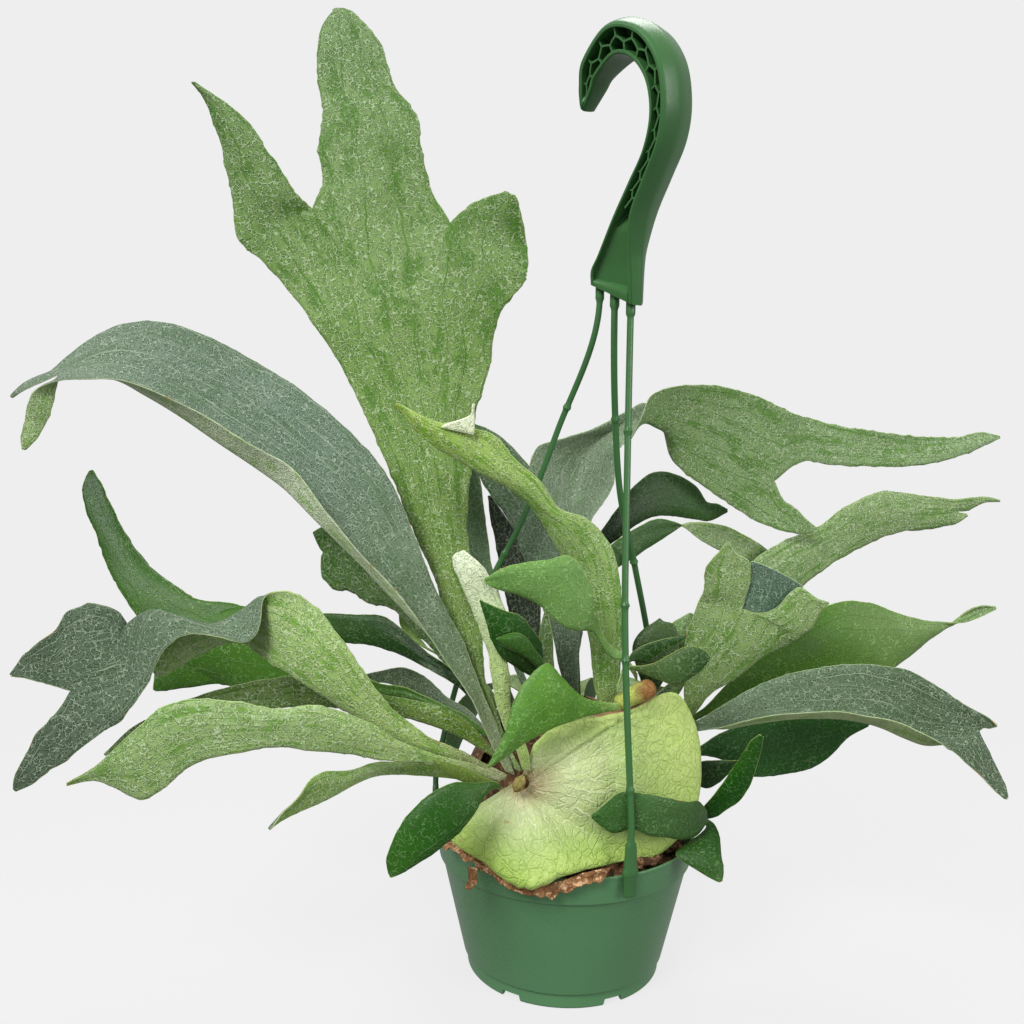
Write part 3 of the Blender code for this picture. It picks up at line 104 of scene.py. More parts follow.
# A row is one line across a blade, from its left edge to its right edge as seen
# looking along its growth: (xa, za, xb, zb, y) or (xa, za, xb, zb, ya, yb), or
# three or four points of (x, z, y).  Rows run from the base to the tip.  A lobe
# is (first column, last column, rows) and continues the blade's last row.
FRONDS = [
    # name, face seen from the front, camber, columns, rows, lobes
    ("frond_upright", "under", 5, 4, [
        (-30, 114, -26, 113, -56), (-39, 130, -34, 128, -54), (-47, 150, -41, 148, -49),
        (-55, 170, -49, 168, -43), (-66, 195, -52, 190, -36), (-76, 220, -53, 213, -30),
        (-84, 236, -57, 235, -25), (-94, 262, -60, 262, -19), (-106, 292, -59, 295, -12),
        (-120, 322, -57, 322, -6), (-134, 350, -49, 348, -1), (-152, 377, -43, 380, 3),
        (-170, 399, -31, 396, 6),
        (-190, 417, 2, -150, 437, 8, -111, 436, 10, -72, 431, 10, -28, 405, 6)],
     [(0, 1, [(-195, 440, -160, 446, 3), (-199, 462, -171, 462, 0), (-203, 478, -180, 475, -3),
              (-208, 490, -190, 488, -6), (-213, 498, -201, 496, -8), (-218, 505.5, -215, 505, -10)]),
      (1, 3, [(-144, 452, -83, 450, 13), (-146, 470, -88, 468, 16), (-144, 492, -92, 490, 19),
              (-147, 508, -104, 506, 21), (-147, 524, -111, 525, 22), (-144, 538, -119, 538, 22),
              (-139, 546, -127, 545, 21)]),
      (3, 4, [(-61, 441, -29, 419, 9), (-51, 446, -31, 431, 6), (-42, 448, -34, 441, 3)])]),
    ("frond_arch_left", "top", 0, 4, [
        (-35.5, 113, -61, -33, 112, -60, -30.5, 111, -60), (-44, 129, -60, -41, 131, -58, -38, 132, -58),
        (-56, 156, -58, -53, 158, -54, -50, 160, -54), (-73, 181, -56, -69, 183, -50, -62, 190, -48),
        (-94, 211, -56, -93, 207, -47, -79, 222, -44), (-119, 239, -58, -118, 232, -46, -91, 252, -40),
        (-141, 263, -60, -145, 260, -44, -108, 288, -36), (-158, 287, -62, -164, 279, -44, -128, 311, -32),
        (-176, 298, -64, -182, 293, -44, -152, 331, -28), (-200, 312, -66, -203, 307, -44, -180, 349, -24),
        (-222, 325, -66, -226, 322, -44, -210, 364, -22), (-244, 334, -66, -247, 334, -44, -240, 372, -22),
        (-263, 338.5, -64, -265, 343, -42, -265, 369, -22), (-280, 340, -60, -282, 345, -42, -285, 357, -26),
        (-291, 340, -56, -296, 342, -46, -300, 345, -36)],
     [(0, 2, [(-306, 336, -297, 336, -53, -44), (-313, 326, -300.5, 322, -50, -48),
              (-316, 314, -305, 312, -48), (-318, 304, -311, 303, -50), (-317.5, 299, -315.5, 298.5, -51)]),
      (2, 4, [(-305, 337.5, -309, 341, -46, -38), (-314, 333.5, -316, 336.5, -47, -42),
              (-322.5, 328, -323.5, 329, -48)])]),
    ("frond_twisted_left", "under", 3, 4, [
        (-36, 107.5, -35, 110.5, -66), (-46, 111, -45, 115.5, -69), (-60, 116.5, -60, 124, -74),
        (-80, 122.5, -78, 131, -80), (-100, 131, -97, 144, -85), (-120, 142, -110, 157, -88),
        (-140, 154, -122, 174, -90), (-158, 165, -136, 194, -90), (-172, 174, -150, 210, -88),
        (-184, 181, -78, -174, 200, -88, -166, 218, -90),
        (-190, 186, -72, -182, 212, -84, -179, 214, -92), (-197, 187, -68, -190, 207, -82, -182, 196, -95),
        (-205, 185, -66, -199, 201, -82, -189, 188, -95), (-216, 180, -65, -212, 197, -82, -205, 189.5, -94),
        (-230, 171, -64, -228, 200.5, -82, -224, 190.5, -93),
        (-241, 166, -64, -244, 205, -81, -238, 181, -94), (-250, 180, -68, -258, 196, -80, -246, 162, -95),
        (-262, 203, -74, -264, 178, -84, -256, 148, -96), (-275, 209, -78, -276, 173, -88, -264, 139, -98),
        (-291, 205, -80, -292, 157, -92, -272, 134, -100)],
     [(0, 2, [(-300, 193, -301, 159.5, -84, -94), (-312, 184, -310, 162, -89, -96),
              (-322, 174, -319, 163.5, -94, -98), (-327, 167, -326, 165, -97)]),
      (2, 4, [(-299, 145, -283, 126, -98, -103), (-311, 132, -297, 115, -102, -106),
              (-320, 116, -309, 107, -106, -109), (-326, 104, -318, 99, -110), (-327, 98, -325, 96, -112)])]),
    ("frond_low_left", "under", 2, 2, [
        (-39, 106.5, -37.5, 109, -72), (-50, 110.5, -50, 114.5, -76), (-75, 116.5, -75, 121.5, -84),
        (-100, 118, -99, 130, -95), (-125, 121, -122, 143, -104), (-150, 123.5, -148, 150, -112),
        (-175, 125, -172, 148, -118), (-200, 121, -198, 152, -122), (-222, 113, -222, 152.5, -124),
        (-240, 98, -240, 147, -124), (-252, 92, -252, 135, -124), (-266, 99, -265, 124, -122),
        (-280, 103, -279, 111, -120), (-295, 100, -294, 101.5, -118)], []),
    ("frond_olive_left", "under", 2, 2, [
        (-41, 120, -44, 127, -52), (-54, 128, -57, 141, -54), (-68, 135, -70, 149, -56),
        (-90, 142.5, -88, 154, -58), (-115, 147, -112, 158, -60), (-140, 149, -137, 167, -60),
        (-160, 150, -158, 168, -60), (-180, 148, -180, 165, -60), (-200, 146, -200, 160, -61),
        (-222, 138, -222, 153, -62), (-243, 132, -242, 143, -63), (-260, 127, -258, 134, -64),
        (-272, 119, -271, 121, -65)], []),
    ("frond_far_left", "green", 3, 4, [
        (-47, 133, -47, 136, -42), (-60, 141, -60, 146, -40), (-75, 149, -75, 153, -36),
        (-95, 155, -95, 161.5, -30), (-113, 157, -113, 165, -24), (-133, 158, -131, 177, -18),
        (-155, 157, -151, 189, -10), (-178, 158, -172, 201, -2),
        (-205, 162, 6, -240, 189, 8, -192, 209, 8)],
     [(0, 2, [(-221, 160, -239, 176, 8), (-234, 158, -242, 168, 8), (-241, 157.5, -243, 160, 8)]),
      (2, 4, [(-252, 202, -217, 212, 14), (-262, 217, -229, 219, 20), (-270, 233, -246, 233, 28),
              (-276, 250, -258, 249, 35), (-282, 268, -267, 267, 42), (-282, 280, -273, 280, 47),
              (-279, 286, -276.5, 286, 50)])]),
    ("frond_behind_arch", "under", 2, 2, [
        (-62, 163, -58, 166, -22), (-75, 180, -69, 184, -18), (-90, 195, -84, 206, -12),
        (-103, 208, -97, 228, -6), (-118, 212, -112, 246, 0), (-130, 219, -128, 255, 5),
        (-138, 220.5, 7, -137, 238, 8, -141, 257.5, 8), (-143.5, 226, 8, -139, 241, 8, -149.5, 253, 9)], []),
    ("frond_dark_left", "green", 2, 2, [
        (-53, 151, -50, 154, -34), (-63, 162, -59, 166, -32), (-76, 171, -72, 176, -28),
        (-90, 178, -85, 185, -22), (-103, 183, -97, 196, -16), (-115, 187, -109, 204, -10),
        (-130, 188, -125, 204.5, -4), (-145, 190, -143, 205, 2), (-158, 193, -157, 202, 8),
        (-169, 197, -168.5, 199, 12)], []),
    ("frond_small_left", "green", 1, 2, [
        (-70, 178, -66, 179, 8), (-80, 184, -75, 182, 11), (-88, 189, -81, 184, 14),
        (-95, 194, -86, 190, 17), (-98.5, 200, -92, 198, 19), (-99, 205, -97, 205, 20)], []),
    ("frond_arching_back_left", "top", 2, 2, [
        (-51, 137, -49, 140, -24), (-61, 145, -58, 149, -18), (-74, 152, -70, 156, -8),
        (-87, 158, -82, 167, 2), (-100, 163.5, -96, 173.5, 12), (-113, 165, -109, 171, 22),
        (-124, 163, -122, 168, 30), (-136, 159, -135, 161, 36)], []),
    ("frond_stub_left", "green", 2, 2, [
        (-40, 102.5, -39, 105, -79), (-50, 104.5, -49, 109, -84), (-60, 106, -60, 114, -90),
        (-69, 110, -70, 117, -96), (-78, 117.5, -78, 118.5, -101)], []),
    ("frond_narrow_left", "under", 1, 2, [
        (-48, 104, -48, 106.5, -58), (-60, 107, -60, 112.5, -60), (-80, 109, -80, 116, -66),
        (-100, 110, -100, 117, -76), (-115, 108, -113, 116, -86), (-130, 100.5, -128, 111, -96),
        (-142, 94, -142, 110, -106), (-152, 89, -151, 105.5, -114), (-162, 83.5, -160, 94, -122),
        (-170, 79, -169, 85, -128), (-175, 75, -174.5, 76.5, -132)], []),
    ("frond_front_left", "green", 3, 2, [
        (-38, 102, -39, 104.5, -86), (-43, 102, -44, 106, -91), (-49, 96, -53, 105, -95),
        (-54, 87, -64, 105, -99), (-63, 75, -78, 99, -102), (-74, 65, -89, 89, -104),
        (-84, 57, -97, 79, -105), (-93, 52, -103, 66, -105), (-99, 49, -105.5, 56, -104),
        (-102, 48, -104.5, 49.5, -103)], []),
    ("frond_centre", "under", 3, 2, [
        (18, 155, 29, 155, -34), (15, 170, 30, 170, -32), (13, 190, 31, 190, -30),
        (8, 212, 30.5, 212, -30), (1, 230, 28.5, 232, -32), (-6, 243, 23, 248, -36),
        (-14, 256, 10, 262.5, -42), (-24, 270, -7, 269, -48), (-37, 281, -18, 284, -54),
        (-52, 288, -33, 297, -58), (-66, 296, -46, 310.5, -60), (-80, 304, -64, 315, -62),
        (-91, 314, -81, 318.5, -63), (-102, 327, -100, 327.5, -64)], []),
    ("frond_centre_flap", "white", 0, 1, [
        (-76, 315, -57, 311, -66), (-72, 317, -57, 315, -66.5), (-65, 319, -57, 319, -67),
        (-59, 322, -57, 323, -67.5), (-58, 328, -57, 328, -68)], []),
    ("frond_young", "white", 1.5, 2, [
        (-25.5, 114, -21.5, 114, -66), (-29, 125, -23, 126, -66), (-36, 138, -29.5, 139, -66),
        (-41, 152, -33, 152, -66), (-44.5, 170, -34, 170, -65), (-47, 185, -37, 188, -63),
        (-53, 200, -36, 205, -61.5), (-58, 213, -41, 217, -60.5), (-64, 226, -47, 229, -60),
        (-68, 235, -56, 239, -60), (-68, 238.5, -61, 243, -60)], []),
    ("frond_mid_left", "green", 2, 2, [
        (31.5, 181, 31.5, 184.5, -46), (27, 181.5, 28, 186.5, -47), (22, 186, 23.5, 190, -50),
        (14, 197, 17.5, 201, -55), (4, 198, 15, 213, -59), (-8, 204, 10, 228, -62),
        (-17, 212, 0, 241, -65), (-28, 217, -14, 238.5, -68), (-38, 220, -28, 236.5, -70),
        (-45, 223, -40, 233, -72), (-49.5, 225.5, -48.5, 227.5, -73)], []),
    ("frond_small_dark", "green", 2, 2, [
        (-14, 167, -10, 170, -49.2), (-23, 171, -14, 179, -57.2), (-31, 175.5, -16, 190, -63.2),
        (-40, 182, -22, 198, -69.2), (-46, 194, -29, 206, -72.2), (-49, 204, -38, 208.5, -73.7),
        (-52, 214, -50, 213.5, -74.7)], []),
    ("frond_small_front", "green", 1.5, 2, [
        (-15, 171, -11, 174.5, -56.5), (-22, 178.5, -17, 182.5, -65.5), (-28, 183, -22, 189, -71.5),
        (-34, 185.5, -28, 195, -75), (-39, 188, -36, 194.5, -77.5), (-42, 191, -41.5, 192.5, -78.5)], []),
    ("frond_front_centre", "green", 3, 2, [
        (30.5, 150.5, 30.5, 154.5, -58), (20, 149, 20, 155, -62), (8, 145.5, 9, 158, -68),
        (-2, 142, -3, 170, -74), (-12, 137, -12, 177.5, -78), (-21, 131.5, -24, 167, -81),
        (-30, 125, -32, 153, -84), (-38, 119.5, -37, 134, -86), (-46, 115, -45, 117, -88)], []),
    ("frond_back_strip", "top", 2, 2, [
        (-30, 172, -26, 172, -4), (-38, 190, -32, 190, 0), (-47, 210, -38, 209, 4),
        (-57, 232, -45, 231, 8), (-63, 250, -48, 249, 12), (-67, 270, -51, 269, 15),
        (-69, 290, -54, 289, 18), (-70, 305, -60, 305, 20), (-70, 318, -68, 318, 21)], []),
    ("frond_back_tall", "under", 3, 2, [
        (-36, 160, -33, 160, 14), (-42, 180, -38, 180, 20), (-52, 200, -46, 200, 27),
        (-64, 222, -56, 222, 36), (-78, 246, -64, 246, 48), (-92, 272, -66, 272, 60),
        (-102, 300, -70, 300, 74), (-108, 326, -78, 326, 88), (-108, 346, -90, 346, 98),
        (-103, 360, -99, 360, 104)], []),
    ("frond_back_centre", "top", 3, 2, [
        (1, 160, 6, 160, -8), (-5, 176, 6, 176, -6), (-9, 195, 6.5, 195, -4),
        (-15, 212, 6, 215, -2), (-23, 228, 2, 234, 0), (-28, 242, -5, 250, 0),
        (-34, 258, -12, 267, -2), (-45, 274, -20, 286, -5), (-53, 287, -31, 300, -8),
        (-58, 300, -43, 311, -12), (-60, 316, -57, 317, -16)], []),
    ("frond_back_olive", "under", 1, 2, [
        (-12, 168, -7.5, 168, -28), (-15, 180, -8.5, 180, -27), (-17, 195, -10, 196, -26),
        (-15, 205, -12, 206, -25), (-13.5, 211, -12.5, 211, -25)], []),
    ("frond_back_shadow", "top", 2, 2, [
        (-19, 170, -14, 170, 4), (-28, 190, -17, 189, 8), (-36, 212, -17, 212, 12),
        (-40, 234, -22, 234, 16), (-44, 252, -28, 252, 20), (-47, 266, -38, 264, 22),
        (-48, 275, -46.5, 275, 24)], []),
    ("frond_big_right", "top", 0, 2, [
        (2, 222, 6, 5, 222, 8, 8, 222, 6), (-5, 243, 6, 2, 243, 13, 9, 243, 5),
        (-14, 264, 7, -1, 262, 18, 12, 263, 5), (-24, 286, 8, 2, 281, 24, 23, 282, 5),
        (-20, 304, 10, 6, 296, 25, 25.5, 295, 5), (-4, 310.5, 14, 14, 308, 25, 26.5, 302, 5),
        (14, 316, 18, 24, 314, 24, 29, 305.5, 5), (30, 325, 22, 33, 317, 22, 33.5, 308, 6),
        (42, 331, 26, 41, 320, 20, 39, 320, 4), (50, 322, 34, 49, 317, 24, 44, 333.5, 12),
        (56, 302, 36, 58, 316, 28, 56, 340, 20), (64, 292.5, 36, 68, 316, 32, 70, 341.5, 28),
        (77, 283, 40, 83, 312, 37, 88, 340, 35), (91, 273.5, 44, 98, 306, 42, 105, 335.5, 42),
        (105, 265, 48, 117, 287, 48, 125, 326.5, 48)],
     [(0, 1, [(115, 261, 122, 277, 49), (127, 257, 131, 270, 49), (135, 257, 142.5, 260.5, 48)]),
      (1, 2, [(131, 298, 132, 324, 54), (150, 297, 150, 320, 60), (175, 296.5, 175, 316, 67),
              (200, 297.5, 200, 314, 73), (222, 302.5, 222, 314, 78), (237, 309, 237, 316.5, 81),
              (246, 313.5, 246, 315, 83)])]),
    ("frond_round_right", "green", 2, 2, [
        (10, 246, 15, 241, 20), (20, 259, 29, 253, 26), (28, 271, 38, 260, 32),
        (37, 283, 47, 265, 38), (49, 291, 57, 266, 44), (62, 289, 65, 265, 50),
        (73, 282, 73, 264, 55), (79, 274, 80, 263.5, 59), (85, 273, 85, 265, 62),
        (90, 270.5, 90, 268, 64)], []),
    ("frond_twisted_right", "green", 1, 2, [
        (14, 236, 19, 226, 0), (25, 249, 29, 236, 6), (37, 257.5, 38, 241.5, 12),
        (50, 263.5, 49, 249.5, 18), (59, 262.5, 58, 256, 23), (66, 259.5, 67, 261.5, 27, 29),
        (73, 254, 74, 262, 32), (80, 249.5, 84, 261.5, 39), (92, 244, 95, 258, 50),
        (106, 238, 108, 251, 60), (119, 240, 120, 243, 68)], []),
    ("frond_tapered_right", "under", 2, 2, [
        (80, 188, 84, 184, 34), (88, 204, 97, 194, 38), (96, 222, 112, 207, 44),
        (107, 240, 128, 219, 50), (123, 251.5, 141, 230, 57), (142, 260, 154, 241, 64),
        (160, 273, 171, 250, 71), (180, 282, 189, 258, 77), (202, 280, 207, 260.5, 83),
        (219, 278, 85, 223, 271, 85, 221, 263, 85)],
     [(0, 1, [(232, 279, 231, 272, 88), (241, 279.5, 240, 276.5, 90), (248, 278, 247.5, 277, 92)]),
      (1, 2, [(226, 270, 226, 265.5, 86), (229.5, 269.5, 229, 268, 86.5)])]),
    ("frond_forked_right", "under", 3, 4, [
        (68, 150, 74, 148, 0), (69, 162, 83, 160, -2), (68, 180, 99, 171, -4),
        (69, 193, 113, 183, -6), (72, 205, 129, 191, -7),
        (76, 216, -8, 89, 213.5, -9, 101, 211.5, -10, 118, 203, -10, 133, 193.5, -10)],
     [(0, 2, [(78.5, 222.5, 104, 222, -10.5), (79, 232.5, 105.5, 233, -12), (81, 238.5, 104, 240, -13),
              (86, 244.5, 97, 244, -14.5), (90.5, 250, 92.5, 250.5, -16)]),
      (2, 4, [(112, 209.5, 136, 196.5, -10.5), (120.5, 212, 140, 200, -11.5), (128.5, 221.5, 144, 205, -12),
              (135, 225, 146.5, 210, -12.5), (144, 219, 149, 214, -13.5), (150.5, 216.5, 151.5, 216, -14)])]),
    ("frond_broad_right", "green", 3, 2, [
        (80, 152, 83, 149, 8), (93, 166, 99, 155, 12), (112, 182, 122, 162, 17),
        (133, 202, 144, 170, 22), (154, 215.5, 165, 175, 28), (175, 216.5, 187, 177, 34),
        (195, 209.5, 201, 186, 40), (208, 206.5, 211, 194.5, 44), (218, 206, 219, 201, 48),
        (224, 206, 224, 205, 47, 52), (232, 206.5, 232, 212.5, 52), (241, 210, 241, 216, 56),
        (249, 214, 248.5, 215.5, 60)], []),
    ("frond_arch_right", "top", 0, 2, [
        (78, 145, -14, 78, 142, -13, 79, 139.5, -15), (90, 153, -14, 92, 141, -14, 91, 141.5, -20),
        (110, 165, -12, 110, 145, -16, 110, 146.5, -26), (130, 173.5, -12, 130, 149, -18, 130, 150, -31),
        (150, 178, -12, 150, 150, -20, 150, 151, -35), (170, 180, -13, 170, 149, -23, 170, 150, -39),
        (188, 179, -16, 186, 145, -26, 184, 148, -43), (203, 175.5, -20, 200, 139, -30, 198, 144, -47),
        (217, 168, -26, 213, 135, -35, 212, 138, -51), (232, 158, -34, 243, 142, -46, 227, 130, -56)],
     [(0, 1, [(241, 153, 245.5, 143.7, -40, -47), (249, 149, 250, 143.6, -46, -49),
              (253, 145.5, 252.5, 144.3, -50)]),
      (1, 2, [(250, 129, 238, 121, -52, -60), (257, 116, 248, 112, -58, -64),
              (261, 107, 256, 104.5, -65, -68), (262, 102.5, 260.5, 101, -70)])]),
    ("frond_dark_right", "green", 3, 2, [
        (76, 128, 77, 124, 14), (90, 137, 92, 122, 16), (105, 144, 108, 113, 17),
        (125, 147, 128, 113, 17), (145, 148, 145, 118, 16), (160, 147, 156, 126, 15),
        (170, 146, 166, 137, 13), (178, 145, 176, 143, 12)], []),
    ("frond_under_right", "green", 1, 2, [
        (73, 117, 75, 108, 6), (80, 120, 83, 104.5, 6), (90, 121, 91, 108, 5),
        (98, 121, 97, 114, 4), (104, 122, 103, 120, 4)], []),
    ("frond_pointed_right", "green", 2, 2, [
        (80, 90, 81, 86, -8), (84, 95, 88, 87, -14), (89, 101, 95, 92, -20),
        (95, 110, 103, 97, -26), (100.5, 119, 109, 106, -31), (106, 128, 112.5, 118, -36),
        (110, 134, 115, 128, -40), (113.5, 137, 116, 135.5, -43)], []),
    ("frond_drooping_right", "green", 2, 2, [
        (87, 83.5, 83.5, 83, -26), (90.5, 79, 82, 78, -36), (92.5, 70.5, 73, 70.5, -46),
        (94, 62, 67, 63.5, -54), (95, 56, 76, 56.5, -58), (95, 51, 86, 50.5, -60),
        (94.5, 48.5, 92, 47.5, -62)], []),
    ("frond_across_shield", "green", 1, 2, [
        (84, 83, 84, 91, -40), (79, 76, 79, 96, -47), (70, 73.5, 71, 96, -56),
        (60, 74.3, 60, 98, -62), (50, 75.5, 50, 100, -66), (40, 79, 40, 101, -67.5),
        (30, 76.3, 31, 100, -69), (22, 80, 23, 93, -71), (17, 84.5, 17, 88, -72)], []),
    ("frond_yellow_edge", "green", 2, 2, [
        (36.5, 177, 36.5, 175.5, -46), (43, 177, 43, 173.5, -47), (50, 178.5, 52, 170, -49),
        (58, 183, 60, 167, -51), (67, 188, 66, 167, -53), (75, 188.8, 73, 171, -54),
        (81, 186, 78.5, 175.5, -55), (82.5, 183.5, 81.5, 180, -56)], []),
    ("frond_dark_sibling", "green", 2, 2, [
        (36.5, 183, 36.5, 179.5, -34), (44, 189, 46, 179.5, -34), (54, 192.5, 54, 186, -34),
        (62, 194.2, 62, 190, -34), (68, 195.5, 68, 194, -34)], []),
    ("frond_low_back", "green", 2, 2, [
        (44, 164, 54, 165, -12), (40, 178, 62, 180, -12), (38, 190, 64, 193, -11),
        (44, 199, 61, 202.5, -9), (52, 204.5, 55, 204.5, -7)], []),
    ("frond_pale_back", "under", 2, 2, [
        (62, 166, 68, 166, 2), (57, 180, 71, 181, 2), (56, 193, 74, 194, 3),
        (60, 202, 75, 202.5, 4), (68, 207.5, 73, 208, 5)], []),
]


# The fronds behind the root ball, in the pot's own drawing frame.
BACK_FRONDS = [
    ("frond_back_middle", "green", 4, 2, [
        (12, 142, 6, 142, 44), (15, 150, 5, 150, 56), (20, 151, 1, 151, 76), (25, 139, -3, 139, 102),
        (26, 116, -3, 116, 126), (20, 90, 2, 90, 142), (12, 66, 8, 66, 150)], []),
    ("frond_back_right", "green", 4, 2, [
        (30, 145, 25, 148, 34, 38), (46, 151, 36, 153, 52, 60), (68, 144, 52, 147, 82, 94),
        (88, 127, 68, 130, 110, 126), (100, 103, 80, 105, 132, 146), (104, 80, 92, 81, 148, 156),
        (103, 62, 99, 62, 160, 162)], []),
    ("frond_back_left", "green", 4, 2, [
        (-12, 144, -18, 141, 48, 44), (-22, 151, -32, 149, 62, 54), (-34, 148, -50, 144, 92, 80),
        (-48, 131, -67, 127, 120, 106), (-58, 106, -78, 103, 140, 126), (-68, 84, -80, 82, 152, 145),
        (-75, 66, -79, 66, 160, 158)], []),
    ("frond_back_low", "under", 3, 2, [
        (-4, 127, -8, 127, 56), (-2, 132, -10, 132, 66), (1, 126, -14, 126, 88),
        (2, 106, -18, 106, 112), (-1, 76, -17, 76, 130), (-5, 50, -12, 50, 140), (-8, 36, -10, 36, 143)], []),
]


# Margin of the main shield frond, from its left end round the bottom, right and
# top back to the crown: (x, z, y, bulge of the dome on the way there).
SHIELD = [(-70, 80, -52, 5), (-66, 69, -64, 6), (-48, 57, -76, 7), (-33, 45, -82, 7), (-18, 41, -84, 7),
          (2, 50, -81, 7), (30, 58, -63, 4), (60, 66, -44, 12), (78, 94, -24, 20), (79, 128, -18, 20),
          (72, 151, -20, 16), (61, 161.5, -28, 12), (38, 152.5, -44, 8), (18, 148, -50, 6),
          (-4, 142, -55, 4), (-19, 129, -58, 2)]
SHIELD_HUB = (-26, 106, -62)


# Dead margin over the rim: its lower and upper edge as (x, z, y), and the rows of the
# torn strip that hangs at its left.
DRY_MARGIN = [
    [(-73, 66, -48), (-66, 64, -62), (-52, 54, -72), (-41, 48, -76), (-34, 42, -78.5),
     (-20, 37, -80), (-4, 37.5, -80.5), (10, 43, -80), (24, 48, -78.5)],
    [(-69, 70, -46), (-62, 67, -60), (-47, 58, -70), (-38, 53, -74.5), (-31, 47.5, -77.5),
     (-17, 44, -79), (-2, 46, -79.5), (11, 51, -79), (28, 55, -77)]]
DRY_STRIP = [
    [(-57.5, 54.5, -73.5), (-54.5, 53.5, -74.5), (-51.5, 53.5, -75)],
    [(-56.5, 50, -75), (-54.0, 49, -76.5), (-51.8, 49, -76)],
    [(-57.0, 45, -76), (-54.0, 44, -77.5), (-51.5, 45, -77)],
    [(-59.0, 41, -77), (-56.0, 40, -78), (-54.0, 41.5, -78)]]

# Lobe folded over behind the forked frond, so that its felted side shows in the fork.
FOLD = ("frond_forked_fold", "top", 0, 2, [
    (100, 208.5, 118, 206, -7.5), (101.5, 215, 128, 212.5, -7.5), (103.5, 225, 134, 218.5, -8),
    (104.5, 234.5, 136, 223, -8.5), (105, 239.5, 136, 225, -9)], [])
FOLD_NODE = "frond_forked_right"

